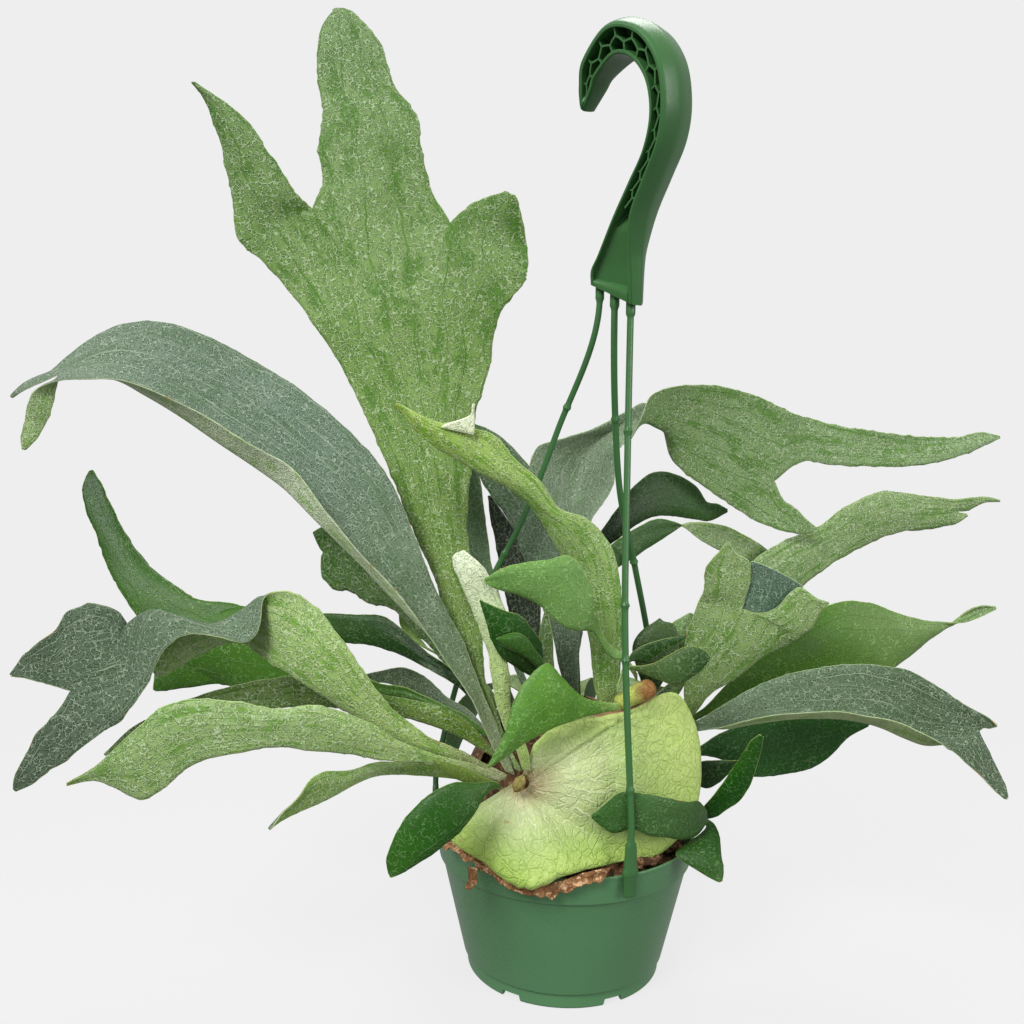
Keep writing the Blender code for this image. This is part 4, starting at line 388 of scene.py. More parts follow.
# What differs from frond to frond.  tones are the display colours of the front face at
# its base, middle and tip, back_tones those of the back face; stalk colours its foot
# and rim its margin; edge and body are how far the margin and the blade wave, and jag
# how rough the margin is, all in mm.  The tones hold painted shade and painted light
# as well as each frond's own colour: the darkest, on fronds deep in the tuft, are
# painted shade, and some faces that turn away from the lamps are painted lighter.
STYLES = {
    "frond_upright": {"tones": [(112, 138, 46), (112, 144, 60), (108, 138, 78)], "edge": 2.2, "body": 3.4,
                      "jag": 1.3, "stalk": (150, 170, 110)},
    "frond_arch_left": {"tones": [(104, 126, 80), (98, 120, 102), (90, 108, 88)], "jag": 0.7,
                        # The pale middle of the back face is painted light: that strip under the arch faces
                        # down, away from the lamps.
                        "back_tones": [(150, 170, 110), (228, 240, 206), (128, 152, 90)],
                        "stalk": (140, 150, 110)},
    "frond_twisted_left": {"tones": [(150, 174, 84), (156, 182, 112), (150, 176, 112)], "jag": 0.9,
                           # The dark tip of the back face is painted shade.
                           "back_tones": [(112, 132, 112), (92, 116, 90), (26, 54, 24)],
                           "stalk": (164, 156, 120)},
    "frond_low_left": {"tones": [(166, 186, 106), (154, 180, 114), (130, 156, 90)], "jag": 0.9,
                       "stalk": (160, 158, 120)},
    "frond_olive_left": {"tones": [(116, 144, 20), (94, 124, 36), (118, 142, 84)], "stalk": (140, 140, 90)},
    "frond_far_left": {"tones": [(70, 112, 32), (66, 110, 26), (30, 72, 0)], "jag": 1.0},
    "frond_behind_arch": {"tones": [(120, 140, 90), (100, 130, 70), (76, 118, 32)], "jag": 1.2},
    "frond_dark_left": {"tones": [(12, 36, 2), (18, 56, 0), (64, 102, 44)]},
    "frond_small_left": {"tones": [(120, 150, 80), (132, 160, 92), (110, 142, 62)]},
    "frond_narrow_left": {"tones": [(146, 182, 60), (162, 188, 120), (122, 154, 58)],
                          "stalk": (150, 150, 110)},
    "frond_mid_left": {"tones": [(120, 160, 88), (112, 152, 80), (108, 152, 76)]},
    "frond_front_left": {"tones": [(58, 96, 30), (30, 82, 2), (50, 104, 14)], "jag": 0.6},
    "frond_front_centre": {"tones": [(86, 134, 42), (90, 140, 44), (88, 134, 56)], "jag": 0.6,
                           "stalk": (140, 168, 90)},
    "frond_centre": {"tones": [(84, 124, 4), (164, 194, 112), (156, 182, 72)], "jag": 0.5,
                     "stalk": (150, 160, 80)},
    "frond_centre_flap": {"tones": [(244, 248, 214), (250, 252, 228), (250, 250, 230)]},
    "frond_young": {"tones": [(172, 194, 108), (184, 202, 136), (250, 254, 232)]},
    "frond_small_front": {"tones": [(60, 100, 40), (58, 100, 38), (52, 100, 20)]},
    "frond_stub_left": {"tones": [(100, 124, 44), (104, 128, 48), (104, 128, 48)]},
    "frond_big_right": {"tones": [(132, 150, 130), (128, 146, 118), (110, 132, 104)], "jag": 0.9,
                        "back_tones": [(130, 158, 98), (128, 158, 94), (136, 164, 110)]},
    "frond_round_right": {"tones": [(60, 90, 44), (6, 34, 2), (70, 110, 52)]},
    "frond_twisted_right": {"tones": [(16, 42, 10), (60, 96, 46), (70, 104, 52)],
                            "back_tones": [(150, 174, 118), (160, 182, 128), (132, 156, 98)]},
    "frond_tapered_right": {"tones": [(110, 136, 86), (130, 156, 94), (132, 156, 100)], "jag": 0.7},
    "frond_forked_right": {"tones": [(122, 152, 62), (124, 150, 82), (142, 166, 104)], "jag": 0.7},
    "frond_forked_fold": {"tones": [(72, 104, 84), (72, 104, 84), (84, 112, 96)], "body": 0.4, "edge": 0.4},
    "frond_broad_right": {"tones": [(82, 124, 38), (72, 116, 22), (136, 160, 104)], "jag": 0.5},
    "frond_arch_right": {"tones": [(112, 134, 106), (80, 104, 74), (36, 64, 28)], "jag": 0.7,
                         "back_tones": [(170, 190, 130), (190, 208, 148), (170, 190, 130)]},
    "frond_dark_right": {"tones": [(20, 56, 12), (38, 90, 28), (30, 84, 12)]},
    "frond_under_right": {"tones": [(20, 58, 4), (18, 54, 6), (24, 62, 8)]},
    "frond_pointed_right": {"tones": [(14, 54, 2), (22, 80, 0), (34, 88, 4)]},
    "frond_drooping_right": {"tones": [(60, 94, 40), (16, 64, 0), (46, 90, 22)]},
    "frond_across_shield": {"tones": [(50, 86, 32), (62, 102, 46), (48, 94, 28)], "edge": 1.0},
    "frond_yellow_edge": {"tones": [(80, 106, 50), (70, 100, 48), (30, 68, 16)], "rim": (176, 186, 84)},
    "frond_dark_sibling": {"tones": [(64, 90, 48), (34, 72, 14), (34, 72, 14)]},
    "frond_small_dark": {"tones": [(24, 60, 8), (20, 66, 2), (30, 84, 0)]},
    "frond_low_back": {"tones": [(20, 48, 8), (20, 50, 8), (70, 96, 50)]},
    # The pale middle is painted light on a frond that sits in shade behind the others.
    "frond_back_strip": {"tones": [(104, 130, 98), (134, 164, 126), (74, 100, 56)]},
    "frond_back_tall": {"tones": [(84, 106, 82), (84, 106, 82), (84, 106, 82)]},
    "frond_back_centre": {"tones": [(54, 76, 50), (96, 120, 96), (64, 94, 50)]},
    "frond_back_olive": {"tones": [(100, 126, 66), (100, 126, 66), (100, 126, 66)]},
    # These tones, darkening to near black at the tip, are painted shade deep in the tuft.
    "frond_back_shadow": {"tones": [(34, 54, 30), (14, 34, 12), (4, 20, 2)]},
    "frond_arching_back_left": {"tones": [(110, 126, 106), (66, 88, 52), (60, 88, 50)]},
}


# ---------------------------------------------------------------- geometry helpers

# Shares of a blade's thickness: how thick its margin is, and how far its rim stands out.
MARGIN_THIN = 0.55
RIM_SWELL = 0.3


def metres(p):
    """Drawing point in mm to the frame in metres."""
    return (Vector(p) - ORIGIN) * MM


def seen(x, z, y):
    """Point at depth y on the sight line through (x, z) of the front elevation."""
    reach = (y - EYE.y) / -EYE.y
    return Vector((EYE.x + (x - EYE.x) * reach, y, EYE.z + (z - EYE.z) * reach))


def plain(x, z, y):
    """Point given by its own place, for the fronds behind the pot."""
    return Vector((x, y, z))


def row_points(row, place):
    """The points of one row, in mm.  A row of vectors is in true places already."""
    if isinstance(row, list):
        return row
    if len(row) == 5:
        xa, za, xb, zb, y = row
        return [place(xa, za, y), place(xb, zb, y)]
    if len(row) == 6:
        xa, za, xb, zb, ya, yb = row
        return [place(xa, za, ya), place(xb, zb, yb)]
    return [place(*row[i:i + 3]) for i in range(0, len(row), 3)]


def smooth_slope(points, knots, k):
    """Tangent at a point of a curve with uneven knots, weighted to the shorter side."""
    if k == 0:
        return (points[1] - points[0]) / (knots[1] - knots[0])
    if k == len(points) - 1:
        return (points[-1] - points[-2]) / (knots[-1] - knots[-2])
    before, after = knots[k] - knots[k - 1], knots[k + 1] - knots[k]
    low, high = (points[k] - points[k - 1]) / before, (points[k + 1] - points[k]) / after
    return (low * after + high * before) / (before + after)


def hermite_at(p0, p1, m0, m1, u):
    """Cubic from p0 to p1 with tangents m0 and m1, read at u from 0 to 1."""
    return (p0 * (1 + 2 * u) * (1 - u) ** 2 + m0 * u * (1 - u) ** 2
            + p1 * u * u * (3 - 2 * u) + m1 * u * u * (u - 1))


def curve_at(points, knots, t):
    """Smooth curve through the points at their knots, read at t."""
    k = 0
    while k < len(knots) - 2 and knots[k + 1] <= t:
        k += 1
    span = knots[k + 1] - knots[k]
    m0 = smooth_slope(points, knots, k) * span
    m1 = smooth_slope(points, knots, k + 1) * span
    return hermite_at(points[k], points[k + 1], m0, m1, (t - knots[k]) / span)


def curve_through(points, t):
    """Smooth curve through the points, which it passes at t = 0, 1, 2 and on."""
    return curve_at(points, list(range(len(points))), min(t, len(points) - 1.0001))


def running_lengths(points):
    """Each point's distance from the first, along the line through them."""
    lengths = [0.0]
    for a, b in zip(points, points[1:]):
        lengths.append(lengths[-1] + (b - a).length)
    return lengths


def across(row, place, cols, camber, along):
    """One row spread over cols + 1 points; a row of two points is bowed to its front."""
    pts = row_points(row, place)
    knots = [k / (len(pts) - 1) for k in range(len(pts))]
    width = (pts[-1] - pts[0]).length
    bow = (pts[1] - pts[0]).cross(along).normalized() * camber * min(1.0, width / 25.0)
    out = []
    for c in range(cols + 1):
        t = c / cols
        if len(pts) == 2:
            out.append(pts[0].lerp(pts[1], t) + bow * (1 - abs(2 * t - 1) ** 1.7))
        else:
            out.append(curve_at(pts, knots, t))
    return out


def middle(points):
    return sum(points, Vector()) / len(points)


def control_rows(rows, place, cols, camber, first=None):
    """The rows of a blade or a lobe, each spread over cols + 1 points."""
    mids = [middle(row_points(row, place)) for row in rows]
    start = mids[0] * 2 - mids[1] if first is None else middle(first)
    out = []
    for k, row in enumerate(rows):
        before = mids[k - 1] if k else start
        after = mids[min(k + 1, len(rows) - 1)]
        out.append(across(row, place, cols, camber, after - before))
    return out


def densify(control, step, entry_slopes=None):
    """Rows along smooth curves through the control rows, about step mm apart.

    entry_slopes gives each column's tangent at the first row, as a direction."""
    knots = [0.0]
    for low, high in zip(control, control[1:]):
        knots.append(knots[-1] + max(0.5, sum((b - a).length for a, b in zip(low, high)) / len(low)))
    columns = list(zip(*control))
    slopes = [[smooth_slope(col, knots, k) for k in range(len(col))] for col in columns]
    if entry_slopes is not None:
        for slope, entry in zip(slopes, entry_slopes):
            slope[0] = entry * slope[0].length if entry.length else slope[0]
    rows = [list(control[0])]
    for k in range(len(control) - 1):
        span = knots[k + 1] - knots[k]
        count = max(2, round(span / step))
        for i in range(1, count + 1):
            u = i / count
            rows.append([hermite_at(col[k], col[k + 1], s[k] * span, s[k + 1] * span, u)
                         for col, s in zip(columns, slopes)])
    return rows


class Sheet:
    """A thin blade in the making: its middle surface, and where each point is on it."""

    def __init__(self):
        self.points = []
        self.spots = []
        self.faces = []
        self.index = {}

    def vertex(self, point, spot):
        """The point's number, which points in the same place share."""
        key = (round(point.x, 3), round(point.y, 3), round(point.z, 3))
        if key not in self.index:
            self.index[key] = len(self.points)
            self.points.append(point)
            self.spots.append(spot)
        return self.index[key]

    def add(self, rows, spots):
        """Adds the quads between rows of points, without a quad's doubled corners."""
        ids = [[self.vertex(p, s) for p, s in zip(row, line)] for row, line in zip(rows, spots)]
        for low, high in zip(ids, ids[1:]):
            for i in range(len(low) - 1):
                face = []
                for v in (low[i], low[i + 1], high[i + 1], high[i]):
                    if v not in face:
                        face.append(v)
                if len(face) > 2:
                    self.faces.append(face)

    def to_bmesh(self):
        """The sheet as a bmesh with normals, and its verts in the sheet's order."""
        bm = bmesh.new()
        verts = [bm.verts.new(p) for p in self.points]
        for face in self.faces:
            try:
                bm.faces.new([verts[i] for i in face])
            except ValueError:  # the face is there already
                continue
        bm.normal_update()
        bm.verts.index_update()
        return bm, verts


def mesh_from(name, points, faces, materials, slots=None, layers=None):
    """Mesh object from points in mm of the drawing, with smooth faces.

    layers maps a UV layer's name to one (u, v) for each point."""
    mesh = bpy.data.meshes.new(name)
    mesh.from_pydata([metres(p) for p in points], [], faces)
    for mat in materials:
        mesh.materials.append(mat)
    if slots is not None:
        mesh.polygons.foreach_set("material_index", slots)
    for layer, spots in (layers or {}).items():
        uv = mesh.uv_layers.new(name=layer)
        for loop in mesh.loops:
            uv.data[loop.index].uv = spots[loop.vertex_index]
    mesh.shade_smooth()
    mesh.validate()
    obj = bpy.data.objects.new(name, mesh)
    bpy.context.scene.collection.objects.link(obj)
    return obj


def face_outwards(mesh):
    """Turns the faces of a closed mesh outwards."""
    bm = bmesh.new()
    bm.from_mesh(mesh)
    bmesh.ops.recalc_face_normals(bm, faces=bm.faces)
    bm.to_mesh(mesh)
    bm.free()


def ring_faces(rings):
    """Quads between each ring of point numbers and the next."""
    faces = []
    for low, high in zip(rings, rings[1:]):
        for i in range(len(low)):
            j = (i + 1) % len(low)
            faces.append([low[i], low[j], high[j], high[i]])
    return faces


def paint(piece, colours):
    """Gives each point its own colour, which the materials read as tone."""
    tone = piece.data.color_attributes.new("tone", "FLOAT_COLOR", "POINT")
    for spot, colour in zip(tone.data, colours):
        spot.color = colour


def thick_sheet(name, sheet, thickness, materials, layers):
    """Closed blade from a middle surface: front, back and a rounded rim between them."""
    bm, verts = sheet.to_bmesh()
    count = len(verts)
    edge_of = {}
    for edge in bm.edges:
        if len(edge.link_faces) == 1:
            loop = edge.link_loops[0]
            edge_of[loop.vert.index] = loop.link_loop_next.vert.index
    outward = {}
    for a, b in edge_of.items():
        along = verts[b].co - verts[a].co
        for v in (a, b):
            push = along.cross(verts[v].normal)
            outward[v] = outward.get(v, Vector()) + push.normalized()
    half = [thickness / 2 * (MARGIN_THIN if i in outward else 1.0) for i in range(count)]
    points = [verts[i].co + verts[i].normal * half[i] for i in range(count)]
    points += [verts[i].co - verts[i].normal * half[i] for i in range(count)]
    rim = {v: 2 * count + k for k, v in enumerate(outward)}
    points += [verts[v].co + push.normalized() * thickness * RIM_SWELL
               for v, push in outward.items()]
    faces, slots = [], []
    for face in bm.faces:
        ids = [v.index for v in face.verts]
        faces.append(ids)
        faces.append([i + count for i in reversed(ids)])
        slots += [0, 1]
    for a, b in edge_of.items():
        faces.append([b, a, rim[a], rim[b]])
        faces.append([rim[b], rim[a], a + count, b + count])
        slots += [2, 2]
    bm.free()
    order = list(range(count)) * 2 + list(outward)
    spread = {key: [values[i] for i in order] for key, values in layers.items()}
    return mesh_from(name, points, faces, materials, slots, spread)


def mound_root(aim):
    """Nearest point to aim on the mound's profile, sunk a little into the mound."""
    flat = Vector((math.hypot(aim.x, aim.y), aim.z))
    profile = [Vector(p) for p in [MOUND_TOP, *MOUND]]
    best = None
    for a, b in zip(profile, profile[1:]):
        t = min(1.0, max(0.0, (flat - a).dot(b - a) / (b - a).length_squared))
        q = a.lerp(b, t)
        if best is None or (flat - q).length < (flat - best).length:
            best = q
    best = best - (flat - best).normalized() * ROOT_DEPTH
    turn = math.atan2(aim.y, aim.x)
    return Vector((best.x * math.cos(turn), best.x * math.sin(turn), best.y))


def with_stalk(name, rows, place):
    """The frond's rows, led by rows for the stalk that joins it to the mound."""
    if name in ROOTS and ROOTS[name] is None:
        return rows
    first, second = row_points(rows[0], place), row_points(rows[1], place)
    base, along = middle(first), (middle(second) - middle(first)).normalized()
    root = Vector(ROOTS[name]) if name in ROOTS else mound_root(base)
    reach = (base - root).length
    if reach < STALK_LEAST:
        return rows
    side, wide = (first[-1] - first[0]).normalized(), (first[-1] - first[0]).length
    away = ((base - root).normalized() + Vector((0, 0, 0.5))).normalized()
    out = []
    for k in range(STALK_ROWS):
        t = k / STALK_ROWS
        p = hermite_at(root, base, away * reach, along * reach, t)
        half = side * (STALK_WIDTH + (wide - STALK_WIDTH) * t) / 2
        out.append([p - half, p + half])
    return out + rows


# ---------------------------------------------------------------- materials

def srgb(r, g, b):
    """Linear colour from 0 to 255 display values."""
    def linear(c):
        c /= 255
        return c / 12.92 if c <= 0.04045 else ((c + 0.055) / 1.055) ** 2.4
    return (linear(r), linear(g), linear(b), 1.0)


def lerp_colour(a, b, f):
    """Colour between a and b at f, which is kept from 0 to 1."""
    f = min(1.0, max(0.0, f))
    return tuple(x + (y - x) * f for x, y in zip(a, b))


class Shader:
    """A material's node tree, with short calls for the nodes it is made of."""

    def __init__(self, name):
        self.mat = bpy.data.materials.new(name)
        self.mat.use_nodes = True
        self.tree = self.mat.node_tree
        self.bsdf = self.tree.nodes["Principled BSDF"]

    def put(self, socket, value):
        if isinstance(value, bpy.types.NodeSocket):
            self.tree.links.new(value, socket)
        else:
            socket.default_value = value

    def node(self, kind, inputs=None, **settings):
        made = self.tree.nodes.new(kind)
        for key, value in settings.items():
            setattr(made, key, value)
        for key, value in (inputs or {}).items():
            self.put(made.inputs[key], value)
        return made

    def math(self, operation, a, b=0.0):
        return self.node("ShaderNodeMath", {0: a, 1: b}, operation=operation).outputs[0]

    def plus(self, a, b):
        return self.math("ADD", a, b)

    def minus(self, a, b):
        return self.math("SUBTRACT", a, b)

    def times(self, a, b):
        return self.math("MULTIPLY", a, b)

    def place(self):
        return self.node("ShaderNodeTexCoord").outputs["Object"]

    def uv(self, layer):
        spot = self.node("ShaderNodeUVMap", uv_map=layer).outputs[0]
        split = self.node("ShaderNodeSeparateXYZ", {0: spot})
        return split.outputs[0], split.outputs[1]

    def vector(self, x, y, z=0.0):
        return self.node("ShaderNodeCombineXYZ", {0: x, 1: y, 2: z}).outputs[0]

    def attribute(self, name):
        return self.node("ShaderNodeAttribute", attribute_name=name).outputs["Color"]

    def noise(self, at, scale, detail=2.0, roughness=0.5, distortion=0.0):
        inputs = {"Vector": at, "Scale": scale, "Detail": detail, "Roughness": roughness,
                  "Distortion": distortion}
        return self.node("ShaderNodeTexNoise", inputs).outputs[0]

    def edges(self, at, scale):
        """Distance to the nearest edge between Voronoi cells."""
        return self.node("ShaderNodeTexVoronoi", {"Vector": at, "Scale": scale},
                         feature="DISTANCE_TO_EDGE").outputs["Distance"]

    def ramp(self, value, low, high, out_low=0.0, out_high=1.0):
        """Smooth step of value from low to high, as a number from out_low to out_high."""
        made = self.node("ShaderNodeMapRange", {0: value, 1: low, 2: high, 3: out_low, 4: out_high})
        made.interpolation_type = "SMOOTHSTEP"
        return made.outputs[0]

    def mix(self, factor, a, b, blend="MIX"):
        made = self.node("ShaderNodeMix", data_type="RGBA", blend_type=blend)
        for number, value in ((0, factor), (6, a), (7, b)):
            self.put(made.inputs[number], value)
        return made.outputs[2]

    def tint(self, colour, by):
        return self.mix(1.0, colour, by, "MULTIPLY")

    def line(self, value, centre, half_width):
        """1 on the line where value is centre, falling to 0 at half_width from it."""
        return self.ramp(self.math("ABSOLUTE", self.minus(value, centre)), half_width, 0.0)

    def bump(self, height, strength, distance):
        inputs = {"Height": height, "Strength": strength, "Distance": distance}
        return self.node("ShaderNodeBump", inputs).outputs[0]

    def finish(self, colour, roughness, normal=None, specular=0.4, sheen=0.0):
        self.put(self.bsdf.inputs["Base Color"], colour)
        self.put(self.bsdf.inputs["Roughness"], roughness)
        if normal is not None:
            self.put(self.bsdf.inputs["Normal"], normal)
        self.bsdf.inputs["Specular IOR Level"].default_value = specular
        self.bsdf.inputs["Sheen Weight"].default_value = sheen
        return self.mat


def worms(s, at, scale, width):
    """Short curly strands of felt hair: pale lines, and the dark lines beside them, which are painted shade.
    """
    cells = s.edges(warped(s, at, scale * 0.8, 1.5 / scale), scale)
    whole = s.ramp(s.noise(at, scale * 1.1, 0.0), 0.36, 0.48)
    light = s.times(s.ramp(cells, width, width * 0.4), whole)
    shade = s.times(s.line(cells, width * 1.9, width * 1.1), whole)
    return light, shade


def warped(s, at, scale, amount):
    """The place pushed about by a noise, to bend a regular pattern drawn there."""
    made = s.node("ShaderNodeTexNoise", {"Vector": at, "Scale": scale, "Detail": 2.0})
    shift = s.node("ShaderNodeVectorMath", {0: made.outputs["Color"], 1: (0.5, 0.5, 0.5)},
                   operation="SUBTRACT")
    push = s.node("ShaderNodeVectorMath", {0: shift.outputs[0], 3: amount}, operation="SCALE")
    return s.node("ShaderNodeVectorMath", {0: at, 1: push.outputs[0]}).outputs[0]


def blade_veins(s, u, v, count, wander, width):
    """Lengthwise veins: lines at even steps across the blade, wandering along it."""
    drift = s.noise(s.vector(s.times(u, 2.0), v), 2.2, 2.0)
    x = s.plus(s.times(u, count), s.times(drift, wander))
    return s.line(s.math("FRACT", x), 0.5, width)


def felt_material(name, vein_light, patchy, felt, hair_scale):
    """Felted frond surface: tone is its colour, painted shade and light included, with hairs, painted shade
    beside them, rubbed patches, veins, and broad clouds that are partly uneven felt and partly painted sheen.
    """
    s = Shader(name)
    at, tone = s.place(), s.attribute("tone")
    u, v = s.uv("blade")
    light, shade = worms(s, at, hair_scale, 0.095)
    grain = s.noise(at, 1500, 1.0)
    stretched = s.vector(s.times(u, 5.0), v, 0.0)
    patches = s.ramp(s.plus(s.times(s.noise(stretched, 2.0, 3.0, 0.6), 0.5),
                            s.times(s.noise(at, 75, 5.0, 0.72), 0.5)), 0.50, 0.58)
    # Broad paler and deeper clouds: partly uneven felt, and partly painted sheen where they are paler.
    clouds_and_sheen = s.ramp(s.noise(at, 22, 3.0, 0.6), 0.32, 0.66)
    main = blade_veins(s, u, v, 7.0, 1.3, 0.045)
    fine = blade_veins(s, u, v, 17.0, 3.0, 0.07)
    broken = s.ramp(s.noise(s.vector(s.times(u, 30.0), v), 3.0, 1.0), 0.40, 0.62)
    deep = s.tint(tone, (0.46, 0.70, 0.26, 1))
    dark = s.tint(tone, (0.40, 0.48, 0.36, 1))
    pale = s.mix(felt, tone, (0.72, 0.84, 0.62, 1))
    colour = s.mix(s.times(clouds_and_sheen, 0.45), s.mix(0.16, tone, pale), s.mix(0.5, tone, deep))
    colour = s.mix(s.times(patches, patchy), colour, deep)
    # Painted shade in the dark lines beside the hairs.
    colour = s.mix(s.times(shade, 0.7), colour, dark)
    colour = s.mix(s.times(light, s.ramp(patches, 0.0, 1.0, 0.85, 0.5)), colour, pale)
    colour = s.mix(s.ramp(grain, 0.38, 0.62, 0.0, 0.4), colour, dark)
    vein_colour = pale if vein_light else deep
    colour = s.mix(s.times(main, s.ramp(broken, 0.0, 1.0, 0.35, 0.95)), colour, vein_colour)
    colour = s.mix(s.times(s.times(fine, broken), 0.7), colour, vein_colour)
    height = s.plus(s.times(light, 0.8), s.times(grain, 0.5))
    height = s.minus(height, s.times(shade, 0.6))
    height = s.plus(height, s.times(main, 1.0))
    return s.finish(colour, 0.58, s.bump(height, 0.6, 0.0006), 0.3, 0.06)


def green_material(name):
    """Young or shaded frond: saturated green, little felt, a soft shine, and painted shade in its darkest
    tones and beside its hairs.
    """
    s = Shader(name)
    at, tone = s.place(), s.attribute("tone")
    u, v = s.uv("blade")
    light, shade = worms(s, at, 350, 0.09)
    rubbed = s.ramp(s.noise(at, 55, 3.0, 0.6), 0.40, 0.62, 0.45, 1.0)
    grain = s.noise(at, 1300, 1.0)
    mottle = s.ramp(s.noise(at, 90, 4.0, 0.65), 0.35, 0.65)
    main = blade_veins(s, u, v, 5.0, 1.1, 0.03)
    bright = s.tint(tone, (1.6, 1.4, 1.6, 1))
    pale = s.mix(0.10, bright, (0.60, 0.74, 0.48, 1))
    dark = s.tint(tone, (0.45, 0.58, 0.35, 1))
    colour = s.mix(s.times(mottle, 0.35), tone, dark)
    # Painted shade in the dark lines beside the hairs.
    colour = s.mix(s.times(shade, 0.5), colour, dark)
    colour = s.mix(s.times(light, rubbed), colour, pale)
    colour = s.mix(s.ramp(grain, 0.38, 0.62, 0.0, 0.3), colour, dark)
    colour = s.mix(s.times(main, 0.6), colour, pale)
    height = s.plus(s.times(light, 0.5), s.times(main, 0.8))
    height = s.plus(height, s.times(grain, 0.35))
    return s.finish(colour, 0.42, s.bump(height, 0.7, 0.0007), 0.30)


def rim_material():
    """Margin of a blade, where the felt wears through to a pale line."""
    s = Shader("frond_rim")
    tone = s.attribute("tone")
    fleck = s.ramp(s.noise(s.place(), 260, 2.0), 0.4, 0.62)
    worn = s.mix(s.times(fleck, 0.35), tone, srgb(120, 140, 70))
    scorched = s.ramp(s.noise(s.place(), 75, 2.0), 0.64, 0.70)
    return s.finish(s.mix(s.times(scorched, 0.8), worn, srgb(158, 112, 50)), 0.7)


def shield_material():
    """Fresh shield frond: lime green, netted with veins that fan out from the crown."""
    s = Shader("shield_green")
    at, tone = s.place(), s.attribute("tone")
    turn, out = s.uv("blade")
    bent = warped(s, at, 70, 0.016)
    net = s.ramp(s.edges(bent, 165), 0.11, 0.0)
    small = s.ramp(s.edges(warped(s, at, 190, 0.006), 420), 0.12, 0.0)
    drift = s.noise(at, 30, 4.0, 0.6)
    rays = s.line(s.math("FRACT", s.plus(s.times(turn, 24.0),
                                         s.times(drift, 4.2))), 0.5, 0.085)
    twigs = s.line(s.math("FRACT", s.plus(s.times(turn, 60.0),
                                          s.times(drift, 11.0))), 0.5, 0.12)
    near = s.ramp(out, 0.85, 0.25)
    pale = s.mix(0.55, tone, srgb(244, 246, 208))
    deep = s.tint(tone, (0.66, 0.80, 0.46, 1))
    brown = s.mix(s.ramp(out, 0.22, 0.05), pale, srgb(150, 118, 84))
    mottle = s.ramp(s.noise(at, 45, 4.0, 0.6), 0.35, 0.65)
    colour = s.mix(s.times(mottle, 0.28), tone, deep)
    colour = s.mix(s.times(twigs, s.ramp(near, 0.0, 1.0, 0.12, 0.4)), colour, pale)
    colour = s.mix(s.times(rays, s.ramp(near, 0.0, 1.0, 0.15, 0.85)), colour, brown)
    line = s.mix(near, deep, pale)
    colour = s.mix(s.times(net, 0.36), colour, line)
    colour = s.mix(s.times(small, 0.22), colour, deep)
    spots = s.ramp(s.noise(at, 130, 2.0), 0.71, 0.76)
    colour = s.mix(s.times(spots, 0.6), colour, srgb(150, 132, 70))
    grain = s.noise(at, 1400, 1.0)
    height = s.minus(s.times(grain, 0.3), s.times(net, 1.0))
    height = s.minus(height, s.times(small, 0.4))
    height = s.plus(height, s.times(s.times(rays, near), 1.4))
    return s.finish(colour, 0.50, s.bump(height, 0.6, 0.0007), 0.35)


def dry_material(name, colours, scale=90):
    """Dead papery frond: brown with darker lines and pale worn places."""
    s = Shader(name)
    at = s.place()
    tone = s.mix(s.ramp(s.noise(at, scale, 4.0, 0.65), 0.35, 0.65), colours[0], colours[1])
    colour = s.mix(s.ramp(s.noise(at, scale * 3.5, 3.0, 0.6, 1.0), 0.52, 0.62), tone, colours[2])
    lines = s.ramp(s.edges(at, scale * 2.2), 0.08, 0.0)
    colour = s.mix(s.times(lines, 0.5), colour, s.tint(tone, (0.4, 0.36, 0.32, 1)))
    height = s.plus(s.noise(at, scale * 6, 3.0), s.times(lines, 0.8))
    return s.finish(colour, 0.85, s.bump(height, 0.6, 0.0008), 0.2)


def stem_material():
    """Cut stem: fresh green-yellow wood at one end, brown fibrous bark at the other."""
    s = Shader("stem_bark")
    at, tone = s.place(), s.attribute("tone")
    fibres = s.ramp(s.noise(warped(s, at, 200, 0.004), 420, 4.0, 0.7), 0.40, 0.60)
    dark = s.tint(tone, (0.42, 0.36, 0.30, 1))
    colour = s.mix(s.times(fibres, 0.6), tone, dark)
    return s.finish(colour, 0.7, s.bump(fibres, 0.5, 0.0006), 0.3)


def bark_material():
    """Bark and moss: brown in patches, with paler flecks."""
    s = Shader("bark_moss")
    at = s.place()
    tone = s.mix(s.ramp(s.noise(at, 60, 4.0, 0.65), 0.35, 0.65), srgb(58, 40, 30), srgb(112, 80, 56))
    colour = s.mix(s.ramp(s.noise(at, 320, 3.0, 0.6), 0.5, 0.66), tone, srgb(150, 118, 86))
    height = s.plus(s.noise(at, 260, 4.0, 0.65), s.times(s.noise(at, 900, 2.0), 0.4))
    return s.finish(colour, 0.92, s.bump(height, 0.8, 0.0015), 0.15)


def plastic_material(name, colour, roughness, grain_scale):
    """Moulded green plastic with a fine grain and faint flow marks."""
    s = Shader(name)
    at = s.place()
    grain = s.noise(at, grain_scale, 2.0)
    flow = s.noise(at, 22, 2.0, 0.5, 0.6)
    lighter = s.tint(colour, (1.18, 1.14, 1.16, 1))
    tone = s.mix(s.ramp(flow, 0.35, 0.65, 0.0, 0.35), colour, lighter)
    rough = s.ramp(grain, 0.3, 0.7, roughness - 0.05, roughness + 0.07)
    height = s.plus(s.times(grain, 0.4), s.times(flow, 0.8))
    return s.finish(tone, rough, s.bump(height, 0.12, 0.0004), 0.45)


